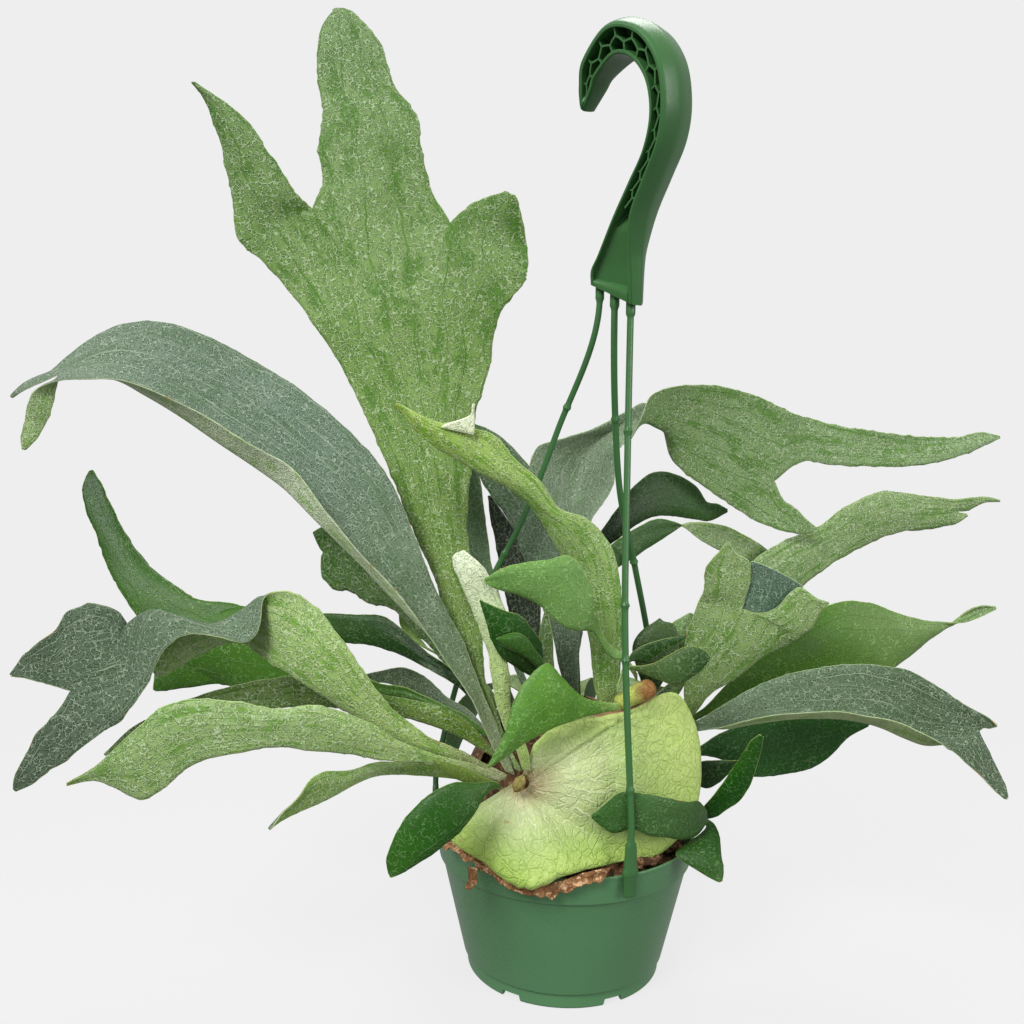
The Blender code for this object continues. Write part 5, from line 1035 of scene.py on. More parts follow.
def build_materials():
    return {
        "under": felt_material("frond_underside", False, 1.0, 0.40, 365),
        "top": felt_material("frond_felted", True, 0.4, 0.30, 400),
        "green": green_material("frond_green"),
        "white": felt_material("frond_pale", False, 0.10, 0.15, 300),
        "rim": rim_material(),
        "shield": shield_material(),
        "dry": dry_material("dry_frond", (srgb(116, 80, 48), srgb(168, 122, 84), srgb(210, 172, 134))),
        "old_shield": dry_material(
            "old_shield", (srgb(96, 70, 50), srgb(132, 102, 74), srgb(166, 138, 104)), 60),
        "bark": bark_material(),
        "stem": dry_material(
            "crown_wood", (srgb(120, 92, 50), srgb(150, 150, 82), srgb(168, 140, 92)), 110),
        "cut": stem_material(),
        "pot": plastic_material("pot_plastic", srgb(80, 126, 84), 0.28, 700),
        "hanger": plastic_material("hanger_plastic", srgb(54, 100, 52), 0.34, 900),
    }


# ---------------------------------------------------------------- fronds

# Display colours of each kind of face at a frond's base, middle and tip, and of its
# rim, for the fronds whose style gives none.
FACE_TONES = {
    "under": [(150, 170, 96), (146, 174, 110), (132, 162, 102)],
    "top": [(116, 136, 106), (112, 134, 114), (104, 128, 106)],
    "green": [(84, 124, 58), (76, 122, 52), (70, 116, 48)],
    "white": [(206, 216, 160), (222, 228, 180), (232, 236, 198)],
}
RIM_TONES = {"under": (176, 194, 140), "top": (170, 186, 150), "green": (150, 172, 96),
             "white": (236, 238, 208)}
OTHER_FACE = {"under": "top", "top": "under", "green": "under", "white": "white"}
# Mesh steps, thickness and waves of a plain frond, in mm.
ACROSS_STEP = 2.3
ALONG_STEP = 1.7
BLADE = 1.15
JAG = 0.5
EDGE_WAVE = 1.6
BODY_WAVE = 1.2
# Share of a frond that has its stalk's colour, and how far its rounded tip reaches: a
# share of its last width, and at most so many mm.
STALK_SHARE = 0.16
TIP_SHARE = 0.2
TIP_MOST = 2.2
# The fronds at the back draw their waves from numbers of their own, from here on.
BACK_NUMBER = 60


def blend3(stops, t):
    """Colour at t from three display colours at 0, 0.5 and 1, as linear values."""
    k = 0 if t < 0.5 else 1
    return lerp_colour(srgb(*stops[k]), srgb(*stops[k + 1]), t * 2 - k)


def fractions(row):
    """Each point's share of the way across its row."""
    lengths = running_lengths(row)
    total = lengths[-1] or 1.0
    return [x / total for x in lengths]


def roughened(row, v, seed, jag, sides):
    """The row with its ends moved in or out by up to jag mm, as sides allow."""
    row = list(row)
    for end, step, allowed in ((0, 1, sides[0]), (-1, -1, sides[1])):
        if not allowed:
            continue
        wave = noise.noise(Vector((v / 11.0, seed + end * 5.0, 2.0)))
        nick = noise.noise(Vector((v / 3.6, seed - end * 3.0, 6.0)))
        tooth = max(0.0, 1.0 - ((v + 40 * noise.noise(Vector((seed, end, v / 60.0)))) % 17.0) / 5.0)
        offset = jag * (0.8 * wave + 0.5 * nick + 0.55 * tooth)
        outward = (row[end] - row[end + step]).normalized()
        for k in range(3):
            row[end + step * k] = row[end + step * k] + outward * offset * (1 - k / 3)
    return row


def tip_rows(rows):
    """Rows that close the end of a blade with a rounded tip."""
    last, before = rows[-1], rows[-2]
    wide = (last[-1] - last[0]).length
    centre = middle(last)
    way = (centre - middle(before)).normalized()
    reach = min(wide * TIP_SHARE, TIP_MOST)
    out = []
    for k in (1, 2, 3, 4):
        turn = math.radians(20 * k)
        out.append([centre + way * reach * math.sin(turn) + (p - centre) * math.cos(turn) for p in last])
    return out


def add_rows(sheet, rows, start_v, seed, jag, low=0.0, high=1.0):
    """Adds dense rows, with u across from low to high and v in mm along the blade."""
    v, spots, before = start_v, [], None
    sides = (low == 0.0 or start_v > 0, high == 1.0 or start_v > 0)
    for k, row in enumerate(rows):
        if k and len(row) > 6:
            narrow = (row[-1] - row[0]).length / 10
            rows[k] = row = roughened(row, v, seed, jag * min(1.0, k / 8, narrow), sides)
        if before is not None:
            v += sum((b - a).length for a, b in zip(before, row)) / len(row)
        spots.append([(low + (high - low) * f, v) for f in fractions(row)])
        before = row
    sheet.add(rows, spots)
    return spots


def entry_directions(control, ahead, first, per, cols):
    """Directions in which a lobe's columns leave the blade: on along it at its outer
    edges, and straight into the lobe at a notch."""
    out = []
    count = len(ahead)
    for j, target in enumerate(ahead):
        column = first * per + j
        share = j / (count - 1)
        along = (control[-1][column] - control[-2][column]).normalized()
        into = (target - control[-1][column]).normalized()
        last = first + (count - 1) // per
        left, right = (1.0 if first == 0 else 0.0), (1.0 if last == cols else 0.0)
        weight = left * (1 - share) + right * share
        out.append((along * weight + into * (1 - weight)).normalized())
    return out


def ripple(sheet, seed, edge, body):
    """Waves the blade along its normals, most at its margins, and gives its length."""
    bm, verts = sheet.to_bmesh()
    end = max(v for _, v in sheet.spots)
    for k, (u, v) in enumerate(sheet.spots):
        side = abs(2 * u - 1)
        fade = min(1.0, v / 60.0)
        margin = noise.noise(Vector((v / 26.0, 7.0 if u > 0.5 else 0.0, seed)))
        broad = noise.noise(Vector((u * 2.2, v / 48.0, seed + 31.0)))
        lift = edge * side ** 4 * margin + body * broad
        sheet.points[k] = sheet.points[k] + verts[k].normal * lift * fade
    bm.free()
    return end


def frond(number, entry, place, mats, node=None):
    """One frond at full detail, standing for the CAD node of its name or for node."""
    name, face, camber, cols, rows, lobes = entry
    style = STYLES.get(name, {})
    rows = with_stalk(name, rows, place)
    widest = max((row_points(r, place)[-1] - row_points(r, place)[0]).length for r in rows)
    per = max(2, round(max(widest * 1.1, 12) / ACROSS_STEP / cols))
    control = control_rows(rows, place, cols * per, camber)
    dense = densify(control, ALONG_STEP)
    sheet = Sheet()
    jag = style.get("jag", JAG)
    if not lobes:
        dense += tip_rows(dense)
    spots = add_rows(sheet, dense, 0.0, number * 2.3, jag)
    for first, last, lobe_rows in lobes:
        base = control[-1][first * per:last * per + 1]
        lobe = [base] + control_rows(lobe_rows, place, (last - first) * per, camber * 0.5, base)
        ways = entry_directions(control, lobe[1], first, per, cols)
        low, high = spots[-1][first * per][0], spots[-1][last * per][0]
        dense_lobe = densify(lobe, ALONG_STEP, ways)
        dense_lobe += tip_rows(dense_lobe)
        add_rows(sheet, dense_lobe, spots[-1][0][1], number * 2.3 + first + 1, jag, low, high)
    end = ripple(sheet, number * 3.7, style.get("edge", EDGE_WAVE), style.get("body", BODY_WAVE))
    back = OTHER_FACE[face]
    piece = thick_sheet("leaf_" + name[6:], sheet, BLADE, [mats[face], mats[back], mats["rim"]],
                        {"blade": [(u, v / 100.0) for u, v in sheet.spots]})
    # front_tones and back_tones carry painted shade and painted light as well as the frond's own colour.
    front_tones = style.get("tones", FACE_TONES[face])
    back_tones = style.get("back_tones", FACE_TONES[back])
    stalk = srgb(*style["stalk"]) if "stalk" in style else blend3(front_tones, 0.0)
    rim_tone = srgb(*style.get("rim", RIM_TONES[face]))
    colours = [lerp_colour(blend3(tones, v / end), stalk, 1 - v / end / STALK_SHARE)
               for tones in (front_tones, back_tones) for _, v in sheet.spots]
    paint(piece, colours + [rim_tone] * (len(piece.data.vertices) - len(colours)))
    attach(piece, "root")
    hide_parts(node or name)


# ---------------------------------------------------------------- shield fronds

SHIELD_TURNS = 130
SHIELD_RINGS = 64
SHIELD_THICK = 1.2
OLD_SHIELD_RISES = 30
OLD_SHIELD_TURNS = 80
DRY_ROWS = 8
DRY_STEPS = 120
DRY_THICK = 0.8


def shield_point(k, t):
    """Point of the main shield: k along its margin in points, t from the crown out."""
    x, z, y, bulge = curve_through([Vector(p) for p in SHIELD], k)
    hub_x, hub_z, hub_y = SHIELD_HUB
    turn = math.radians(190 + 250 * k / (len(SHIELD) - 1))
    sx, sz = hub_x + 5 * math.cos(turn), hub_z + 5 * math.sin(turn)
    depth = hub_y + (y - hub_y) * t - bulge * 4 * t * (1 - t)
    return seen(sx + (x - sx) * t, sz + (z - sz) * t, depth)


def shield_relief(p, share, t):
    """Height in mm of the shield's swollen cells, folds and waved margin."""
    far = min(1.0, max(0.0, (t - 0.35) / 0.4))
    bent = p + noise.noise_vector(p / 13.0) * 6.0
    cells = noise.voronoi(Vector((bent.x / 7.5, bent.z / 4.6, bent.y / 7.5)))[0]
    swell = min(1.0, (cells[1] - cells[0]) * 2.2)
    right = min(1.0, max(0.0, (share - 0.45) / 0.15)) * min(1.0, max(0.0, (0.95 - share) / 0.1))
    pleats = math.sin(share * 170 + noise.noise(p / 11.0) * 4.0)
    low = math.exp(-((share - 0.27) / 0.10) ** 2) * max(0.0, (t - 0.62) / 0.38) ** 1.5
    rays = noise.noise(Vector((share * 26.0, t * 1.2, 3.0)))
    wave = noise.noise(Vector((share * 9.0, 0.0, 8.0))) * max(0.0, t - 0.8) * 9.0
    dome = low * 5.0 * (1 - max(0.0, (t - 0.9) / 0.1) ** 2 * 1.2)
    veins = abs(noise.noise(Vector((share * 34.0, t * 1.6, 5.0)))) ** 0.5 * max(0.0, 0.7 - t)
    return (swell * far * (0.25 + 1.0 * right) + pleats * low * 0.9 + rays * 1.1 * t + wave + dome
            - veins * 1.6)


def build_shield(mats):
    sheet = Sheet()
    rows, spots = [], []
    for r in range(SHIELD_RINGS + 1):
        t = r / SHIELD_RINGS
        rows.append([shield_point((len(SHIELD) - 1) * k / SHIELD_TURNS, t)
                     for k in range(SHIELD_TURNS + 1)])
        spots.append([(k / SHIELD_TURNS, t) for k in range(SHIELD_TURNS + 1)])
    sheet.add(rows, spots)
    for k, (share, t) in enumerate(sheet.spots):
        p = sheet.points[k]
        sheet.points[k] = p + Vector((0, -1, 0)) * shield_relief(p, share, t)
    piece = thick_sheet("shield_front", sheet, SHIELD_THICK,
                        [mats["shield"], mats["shield"], mats["rim"]], {"blade": sheet.spots})
    colours = [shield_tone(share, t) for share, t in sheet.spots] * 2
    rim_tone = srgb(186, 204, 120)
    paint(piece, colours + [rim_tone] * (len(piece.data.vertices) - len(colours)))
    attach(piece, "root")
    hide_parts("shield_frond")


def shield_tone(share, t):
    """Pinkish brown at the crown, pale by it, and lime towards the margin."""
    hub, inner = srgb(170, 148, 114), srgb(188, 200, 146)
    lip = math.exp(-((share - 0.28) / 0.09) ** 2)
    outer = lerp_colour(srgb(164, 192, 92), srgb(206, 226, 138), (share - 0.4) / 0.2 + lip)
    colour = lerp_colour(hub, inner, t / 0.22)
    colour = lerp_colour(colour, srgb(168, 192, 114), (t - 0.25) / 0.35)
    colour = lerp_colour(colour, outer, (t - 0.6) / 0.3)
    torn = math.exp(-((share - 0.82) / 0.055) ** 4)
    return lerp_colour(colour, srgb(150, 104, 80), torn * (t - 0.93) / 0.03)


def build_back_shield(mats):
    """The older, brown shield that closes the back of the mound."""
    sheet = Sheet()
    rows, spots = [], []
    profile = [Vector((r + SHIELD_CLEAR, z + SHIELD_CLEAR)) for r, z in MOUND[::-1]]
    for i in range(OLD_SHIELD_RISES + 1):
        r, z = curve_through(profile, i * (len(profile) - 1) / OLD_SHIELD_RISES)
        row = []
        for k in range(OLD_SHIELD_TURNS + 1):
            a = math.radians(-112 + 200 * k / OLD_SHIELD_TURNS)
            rough = noise.noise(Vector((math.sin(a) * 4, math.cos(a) * 4, z / 16.0)))
            ragged = 1.0 + (0.05 * noise.noise(Vector((a * 9.0, 2.0, 0.0))) if i < 4 else 0.0)
            row.append(Vector((r * ragged * math.sin(a), r * ragged * math.cos(a), z + rough * 1.2)))
        rows.append(row)
        spots.append([(k / OLD_SHIELD_TURNS, i / OLD_SHIELD_RISES) for k in range(OLD_SHIELD_TURNS + 1)])
    sheet.add(rows, spots)
    piece = thick_sheet("shield_old", sheet, SHIELD_THICK, [mats["old_shield"]] * 3,
                        {"blade": sheet.spots})
    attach(piece, "root")
    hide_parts("shield_frond_back")


def build_dry_margin(mats):
    """Papery dead margin hanging over the rim, with a torn strip at its left."""
    sheet = Sheet()
    lower, upper = ([Vector(p) for p in row] for row in DRY_MARGIN)
    rows, spots = [], []
    for i in range(DRY_ROWS + 1):
        f = i / DRY_ROWS
        row = []
        for k in range(DRY_STEPS + 1):
            at = min(k * (len(lower) - 1) / DRY_STEPS, len(lower) - 1.0001)
            p = curve_through(lower, at).lerp(curve_through(upper, at), f)
            tear = noise.noise(Vector((at * 3.0, 4.0, 0.0))) * 4.2 * (1 - f) ** 2
            curl = noise.noise(Vector((at * 1.7, f * 1.5, 9.0))) * 1.5
            row.append(seen(p.x, p.y + tear, p.z + curl))
        rows.append(row)
        spots.append([(k / DRY_STEPS, f) for k in range(DRY_STEPS + 1)])
    sheet.add(rows, spots)
    strip = densify([[seen(*p) for p in row[::-1]] for row in DRY_STRIP], 1.0)
    sheet.add(strip, [[(0.5, 0.5)] * len(row) for row in strip])
    piece = thick_sheet("shield_dead_margin", sheet, DRY_THICK, [mats["dry"]] * 3,
                        {"blade": sheet.spots})
    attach(piece, "root")
    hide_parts("shield_margin_dry")


# ---------------------------------------------------------------- pot, mound and crown

POT_TURNS = 192
# Drainage notches in the foot ring: the turn of the first, how far out they reach, and
# the height and half width of their lower and upper edge.
NOTCH_TURN = 27
NOTCH_REACH = (44, 68)
NOTCH_EDGES = ((-5.1, 7.5), (3.9, 5.25))
BALL_TURNS = 150
BALL_STEP = 2.2
CHIPS = 150
CHIP_HEIGHT = 81


def lathe(profile, turns, shift=None):
    """Points and faces of a closed turned shape from an (r, z) profile in mm."""
    points, rings = [], []
    for r, z in profile:
        if r < 0.01:
            rings.append([len(points)] * turns)
            points.append(Vector((0, 0, z)))
            continue
        rings.append(list(range(len(points), len(points) + turns)))
        for k in range(turns):
            a = 2 * math.pi * k / turns
            p = Vector((r * math.sin(a), r * math.cos(a), z))
            points.append(p + shift(p) if shift else p)
    faces = [[v for i, v in enumerate(face) if v not in face[:i]] for face in ring_faces(rings)]
    return points, faces


def corner(profile, radius):
    """The profile with its corners rounded to about radius mm."""
    out = [profile[0]]
    for before, here, after in zip(profile, profile[1:], profile[2:]):
        h = Vector(here)
        a, b = Vector(before) - h, Vector(after) - h
        cut = min(radius, a.length * 0.4, b.length * 0.4)
        p, q = h + a.normalized() * cut, h + b.normalized() * cut
        for f in (0.0, 0.25, 0.5, 0.75, 1.0):
            out.append(tuple(p.lerp(h, f).lerp(h.lerp(q, f), f)))
    out.append(profile[-1])
    return out


def pot_profile():
    """Outline of the pot as (r, z), up its outside, over the rim and down its inside."""
    return [(0, 5.0), (FOOT_RADIUS - 3.0, 5.0), (FOOT_RADIUS - 3.2, 1.0), (FOOT_RADIUS - 2.6, 0),
            (FOOT_RADIUS - 0.6, 0), (FOOT_RADIUS + 0.4, 1.0), (56.8, 8.4), (58.6, 9.2), (72.2, 66.0),
            (73.8, 66.7), (RIM_RADIUS - 0.6, POT_HEIGHT - 3), (RIM_RADIUS, POT_HEIGHT - 0.6),
            (RIM_RADIUS - 0.3, POT_HEIGHT), (74.8, POT_HEIGHT), (74.2, POT_HEIGHT - 0.4), (71.2, 66.5),
            (55.6, 9.5), (52, 6.6), (0, 6.6)]


def notch_cutter(number):
    """Wedge that cuts one drainage notch in the pot's foot ring."""
    angle = math.radians(NOTCH_TURN + 360 / NOTCHES * number)
    radial = Vector((math.sin(angle), -math.cos(angle), 0))
    side = Vector((radial.y, -radial.x, 0))
    near, far = NOTCH_REACH
    corners = []
    for z, half in NOTCH_EDGES:
        for r, s in ((near, -1), (far, -1), (far, 1), (near, 1)):
            corners.append(radial * r + side * half * s + Vector((0, 0, z)))
    boxes = [(0, 3, 2, 1), (4, 5, 6, 7), (0, 1, 5, 4), (1, 2, 6, 5), (2, 3, 7, 6), (3, 0, 4, 7)]
    cutter = mesh_from("notch_%d" % number, corners, boxes, [])
    face_outwards(cutter.data)
    return cutter


def build_pot(mats):
    points, faces = lathe(corner(pot_profile(), 0.7), POT_TURNS)
    pot = mesh_from("pot_shell", points, [f[::-1] for f in faces], [mats["pot"]])
    cutters = [notch_cutter(k) for k in range(NOTCHES)]
    for cutter in cutters:
        mod = pot.modifiers.new("Cut", "BOOLEAN")
        mod.object = cutter
        mod.solver = "EXACT"
    settle(pot)
    for cutter in cutters:
        bpy.data.objects.remove(cutter, do_unlink=True)
    pot.data.set_sharp_from_angle(angle=math.radians(35))
    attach(pot, "root")
    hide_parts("pot")


def settle(obj):
    """Applies the object's modifiers to its mesh."""
    deps = bpy.context.evaluated_depsgraph_get()
    mesh = bpy.data.meshes.new_from_object(obj.evaluated_get(deps))
    obj.modifiers.clear()
    obj.data = mesh


def chip(points, faces, centre, size, rng):
    """Adds one bark chip: a squashed, broken-edged block."""
    turn = Matrix.Rotation(rng.uniform(0, 6.28), 3, "Z") @ Matrix.Rotation(rng.uniform(-0.7, 0.7), 3, "X")
    bm = bmesh.new()
    bmesh.ops.create_cube(bm, size=1.0)
    bmesh.ops.subdivide_edges(bm, edges=bm.edges[:], cuts=3, use_grid_fill=True)
    start = len(points)
    shape = Vector((rng.uniform(0.8, 1.5), rng.uniform(0.6, 1.0), rng.uniform(0.3, 0.5))) * size
    offset = Vector((rng.uniform(0, 99), rng.uniform(0, 99), 0))
    for v in bm.verts:
        p = v.co.normalized() * 0.28 + v.co * 0.62
        p = Vector((p.x * shape.x, p.y * shape.y, p.z * shape.z))
        p += noise.noise_vector(p / size * 2.2 + offset) * size * 0.18
        points.append(centre + turn @ p)
    for face in bm.faces:
        faces.append([start + v.index for v in face.verts])
    bm.free()


def ball_roughness(p):
    """Push of a point of the mound by a fractal noise, weak where the pot hides it."""
    rough = noise.fractal(p / 9.0, 0.8, 2.2, 4)
    most = 0.3 if p.z < 72 else 1.6
    out = Vector((p.x, p.y, 0)).normalized()
    return out * (rough - 0.7) * most + Vector((0, 0, rough * most * 0.4))


def build_root_ball(mats):
    """Mound of bark, moss and roots, rough all over, with chips of bark at the rim."""
    profile = [(0, 7.2), (50, 7.2), (54, 10.5), (69.0, 66.0), (70.5, 76), (66, 80),
               *MOUND[::-1], MOUND_TOP]
    fine = []
    for a, b in zip(profile, profile[1:]):
        steps = max(1, round((Vector(b) - Vector(a)).length / BALL_STEP))
        fine += [tuple(Vector(a).lerp(Vector(b), i / steps)) for i in range(steps)]
    fine.append(profile[-1])
    points, faces = lathe(fine, BALL_TURNS, ball_roughness)
    faces = [f[::-1] for f in faces]
    rng = random.Random(SEED)
    for _ in range(CHIPS):
        a = rng.uniform(0, 2 * math.pi)
        r = rng.uniform(60, 69)
        z = CHIP_HEIGHT + rng.uniform(-2, 2.2) + max(0, 66 - r) * 0.5
        centre = Vector((r * math.sin(a), r * math.cos(a), z))
        chip(points, faces, centre, rng.uniform(4.5, 8.5), rng)
    ball = mesh_from("bark_and_roots", points, faces, [mats["bark"]])
    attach(ball, "root")
    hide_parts("root_ball")


def tube(stations, sides=16, power=2.0):
    """Points and faces of a closed loft along stations of (point, half width, half depth,
    turn in degrees); a higher power makes the section squarer."""
    count = len(stations)
    points, rings = [], []
    for k, (p, half_w, half_d, turn) in enumerate(stations):
        a, b = stations[max(k - 1, 0)][0], stations[min(k + 1, count - 1)][0]
        up = (b - a).normalized()
        side = Vector((math.cos(math.radians(turn)), math.sin(math.radians(turn)), 0))
        side = (side - up * side.dot(up)).normalized()
        out = up.cross(side)
        ring = []
        for i in range(sides):
            ang = 2 * math.pi * (i + 0.5) / sides
            c, s = math.cos(ang), math.sin(ang)
            c = math.copysign(abs(c) ** (2 / power), c)
            s = math.copysign(abs(s) ** (2 / power), s)
            ring.append(len(points))
            points.append(p + side * half_w * c + out * half_d * s)
        rings.append(ring)
    return points, ring_faces(rings) + [rings[0][::-1], rings[-1]]


# The crown's bud and the cut stem, as (x, z, y, half width, half depth) along each.
BUD = [(-29, 101, -69, 1.5, 1.2), (-28.5, 102.5, -70, 2.8, 2.0), (-28, 104, -70, 3.2, 2.4),
       (-26.5, 107.5, -70.5, 3.0, 2.2), (-25, 110, -71, 1.0, 0.9)]
CUT_STEM = [(29.5, 153.5, -49, 2.4, 2.4), (30.2, 154.3, -48.8, 3.6, 3.4), (31, 155, -48.5, 4.2, 4.0),
            (34, 156.8, -47.6, 4.4, 4.2), (36, 158, -47, 5.0, 4.6), (38, 159, -46.4, 5.0, 4.7),
            (43, 161.5, -45, 5.6, 5.0), (47, 163.5, -43.6, 5.4, 4.8), (49, 164.5, -43, 5.0, 4.4),
            (50.5, 165, -42.5, 3.6, 3.0)]


def build_crown(mats):
    points, faces = tube([(seen(x, z, y), wide, deep, 0) for x, z, y, wide, deep in BUD])
    piece = mesh_from("crown_tip", points, faces, [mats["stem"]])
    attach(piece, "root")
    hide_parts("crown_bud")
    stem = [(seen(x, z, y), wide, deep, 0) for x, z, y, wide, deep in CUT_STEM]
    points, faces = tube(stem)
    piece = mesh_from("cut_stem_end", points, faces, [mats["cut"]])
    start, end = stem[0][0].x, stem[-1][0].x
    shares = [(p.x - start) / (end - start) + 0.15 * noise.noise(p / 4.0) for p in points]
    fresh, brown = srgb(178, 190, 96), srgb(156, 112, 62)
    paint(piece, [lerp_colour(fresh, brown, (share - 0.5) / 0.1) for share in shares])
    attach(piece, "root")
    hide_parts("cut_stem")


# ---------------------------------------------------------------- hanger

HOOK_STATIONS = 110
# In mm: the web's thickness, how far the band is crowned, the flanges' thickness, the
# rounding of the edges, the recess at the foot, and the ribs' pitch and half thickness.
WEB = 2.4
CROWN = 3.0
FLANGE = 2.1
SOFT = 0.7
FOOT_RECESS = 3.0
RIB_PITCH = 10.0
RIB_HALF = 0.55
# Ribs start at the first share of the band and run over the second.
RIB_SPAN = (0.055, 0.69)
RIB_SAMPLES = 400
STRAND_STEPS = 240
# Places of the moulded beads in mm from the sleeve's foot, and back from the clip.
BEADS_DOWN = (60, 150)
BEADS_UP = (20, 88)
# The rim clip: height over the rim, half width and half depth.
CLIP = [(21, 1.7, 1.6), (18.6, 2.0, 1.6), (17.6, 2.9, 1.7), (16, 3.2, 1.7), (10, 3.5, 1.75),
        (5.2, 3.75, 1.8), (4.2, 4.1, 1.9), (3.4, 4.5, 2.0), (1.2, 4.6, 2.0), (0.2, 4.2, 1.8),
        (-0.6, 3.9, 1.5), (-9.6, 3.8, 1.4), (-10.6, 3.5, 1.2), (-11.0, 3.0, 0.9)]


def hook_point(s, h, t=0.0):
    """Point by the hook's own axes: s across it, h up it, t through its depth."""
    across_hook = Vector((math.cos(HOOK_TURN), -math.sin(HOOK_TURN), 0))
    facing = Vector((-math.sin(HOOK_TURN), -math.cos(HOOK_TURN), 0))
    up = Vector((0, 0, 1)) * math.cos(HOOK_LEAN) + facing * math.sin(HOOK_LEAN)
    return HOOK_FOOT + across_hook * s + up * h + across_hook.cross(up) * t


ORIGIN = hook_point(HANG_S, HANG_H)


def hook_band(share):
    """Outer edge, inner edge and half depth of the hook's band at a share of its way."""
    knots = list(range(len(HOOK_BAND)))
    along = min(share, 0.99999) * knots[-1]
    so, ho, si, hi, half = curve_at([Vector(p) for p in HOOK_BAND], knots, along)
    return Vector((so, ho)), Vector((si, hi)), half


def recess_depth(share, half):
    """How deep the side recess is there: down to the web by the ribs, shallow at the foot."""
    deep = half - WEB / 2
    fade_in = min(1.0, max(0.0, (share - 0.03) / 0.04))
    to_foot = min(1.0, max(0.0, (share - 0.745) / 0.03))
    fade_out = min(1.0, max(0.0, (0.975 - share) / 0.01))
    return max(0.05, (deep + (FOOT_RECESS - deep) * to_foot) * fade_in * fade_out)


def hook_section(share):
    """The ring of points round the hook's section at a share of its way."""
    outer, inner, half = hook_band(share)
    wide = (inner - outer).length
    way = (inner - outer).normalized()
    lip = min(FLANGE, wide * 0.3)
    floor = half - recess_depth(share, half)
    out = []

    def at(w, t):
        p = outer + way * w
        out.append(hook_point(p.x, p.y, t))

    for k in range(-6, 7):
        t = k / 6.6 * half
        step = (0.45 if k >= 1 else 0.0) * (1 - (t / half) ** 4)
        at(-(CROWN * (1 - (abs(t) / half) ** 1.25) + step), t)
    side = [(0.1, half - SOFT), (SOFT, half), (lip - 0.3, half), (lip, half - 0.3),
            (lip + 0.25, floor + 0.4), (lip + 0.7, floor),
            (wide - lip - 0.7, floor), (wide - lip - 0.25, floor + 0.4),
            (wide - lip, half - 0.3), (wide - lip + 0.3, half), (wide - SOFT, half),
            (wide - 0.05, half - SOFT)]
    for w, t in side:
        at(w, t)
    for k in range(1, 6):
        at(wide + 0.35 * math.sin(k / 6 * math.pi), (1 - k / 3) * (half - SOFT))
    for w, t in side[::-1]:
        at(w, -t)
    return out


def rib_paths():
    """Honeycomb ribs as pairs of (share along, share across) ends."""
    first, span = RIB_SPAN
    shares = [first + span * k / RIB_SAMPLES for k in range(RIB_SAMPLES + 1)]
    mids = [(hook_band(x)[0] + hook_band(x)[1]) / 2 for x in shares]
    travelled, marks, goal = 0.0, [], 0.0
    for k in range(1, len(shares)):
        travelled += (mids[k] - mids[k - 1]).length
        if travelled >= goal:
            marks.append(shares[k])
            goal += RIB_PITCH / 2
    ribs = []
    for k, mark in enumerate(marks[1:-1], 1):
        if k % 2:
            ribs.append([(mark, 0.0), (mark, 0.36)])
            ribs.append([(mark, 0.36), (marks[k + 1], 0.64)])
            ribs.append([(mark, 0.36), (marks[k - 1], 0.64)])
        else:
            ribs.append([(mark, 0.64), (mark, 1.0)])
    return ribs


def add_rib(points, faces, ends, side):
    """One thin upright wall in the recess, on the side that side gives as 1 or -1."""
    spots = []
    for f in (0.0, 0.5, 1.0):
        share = ends[0][0] + (ends[1][0] - ends[0][0]) * f
        w = ends[0][1] + (ends[1][1] - ends[0][1]) * f
        outer, inner, half = hook_band(share)
        wide = (inner - outer).length
        lip = min(FLANGE, wide * 0.3) - 0.2
        p = outer + (inner - outer).normalized() * (lip + (wide - 2 * lip) * w)
        spots.append((p, half))
    way = (spots[-1][0] - spots[0][0]).normalized()
    normal = Vector((way.y, -way.x))
    start = len(points)
    foot = WEB / 2 - 0.2
    for p, half in spots:
        top = half - 1.6
        for offset, t in ((-RIB_HALF, foot), (-RIB_HALF * 0.8, top), (RIB_HALF * 0.8, top), (RIB_HALF, foot)):
            q = p + normal * offset
            points.append(hook_point(q.x, q.y, t * side))
    rings = [[start + 4 * k + i for i in range(4)] for k in range(len(spots))]
    quads = ring_faces(rings) + [rings[0][::-1], rings[-1]]
    faces += [q[::-1] for q in quads] if side < 0 else quads


def build_hook(mats):
    points, rings = [], []
    for k in range(HOOK_STATIONS + 1):
        ring = hook_section(k / HOOK_STATIONS)
        rings.append(list(range(len(points), len(points) + len(ring))))
        points += ring
    faces = ring_faces(rings) + [rings[0][::-1], rings[-1]]
    for ends in rib_paths():
        add_rib(points, faces, ends, 1)
        add_rib(points, faces, ends, -1)
    hook = mesh_from("hook_moulding", points, faces, [mats["hanger"]])
    face_outwards(hook.data)
    hook.data.set_sharp_from_angle(angle=math.radians(38))
    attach(hook, "root")
    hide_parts("hanger_hook")


def strand_thickness(d, beads):
    """Half thickness of a strand at d mm from its top: sleeve, taper, cord and beads."""
    thick = SLEEVE if d < 6.5 else STRAND
    if 6.5 <= d < 8.0:
        thick = SLEEVE + (STRAND - SLEEVE) * (d - 6.5) / 1.5
    for bead in beads:
        thick += 0.75 * math.exp(-((d - bead) / 1.1) ** 2)
    return thick


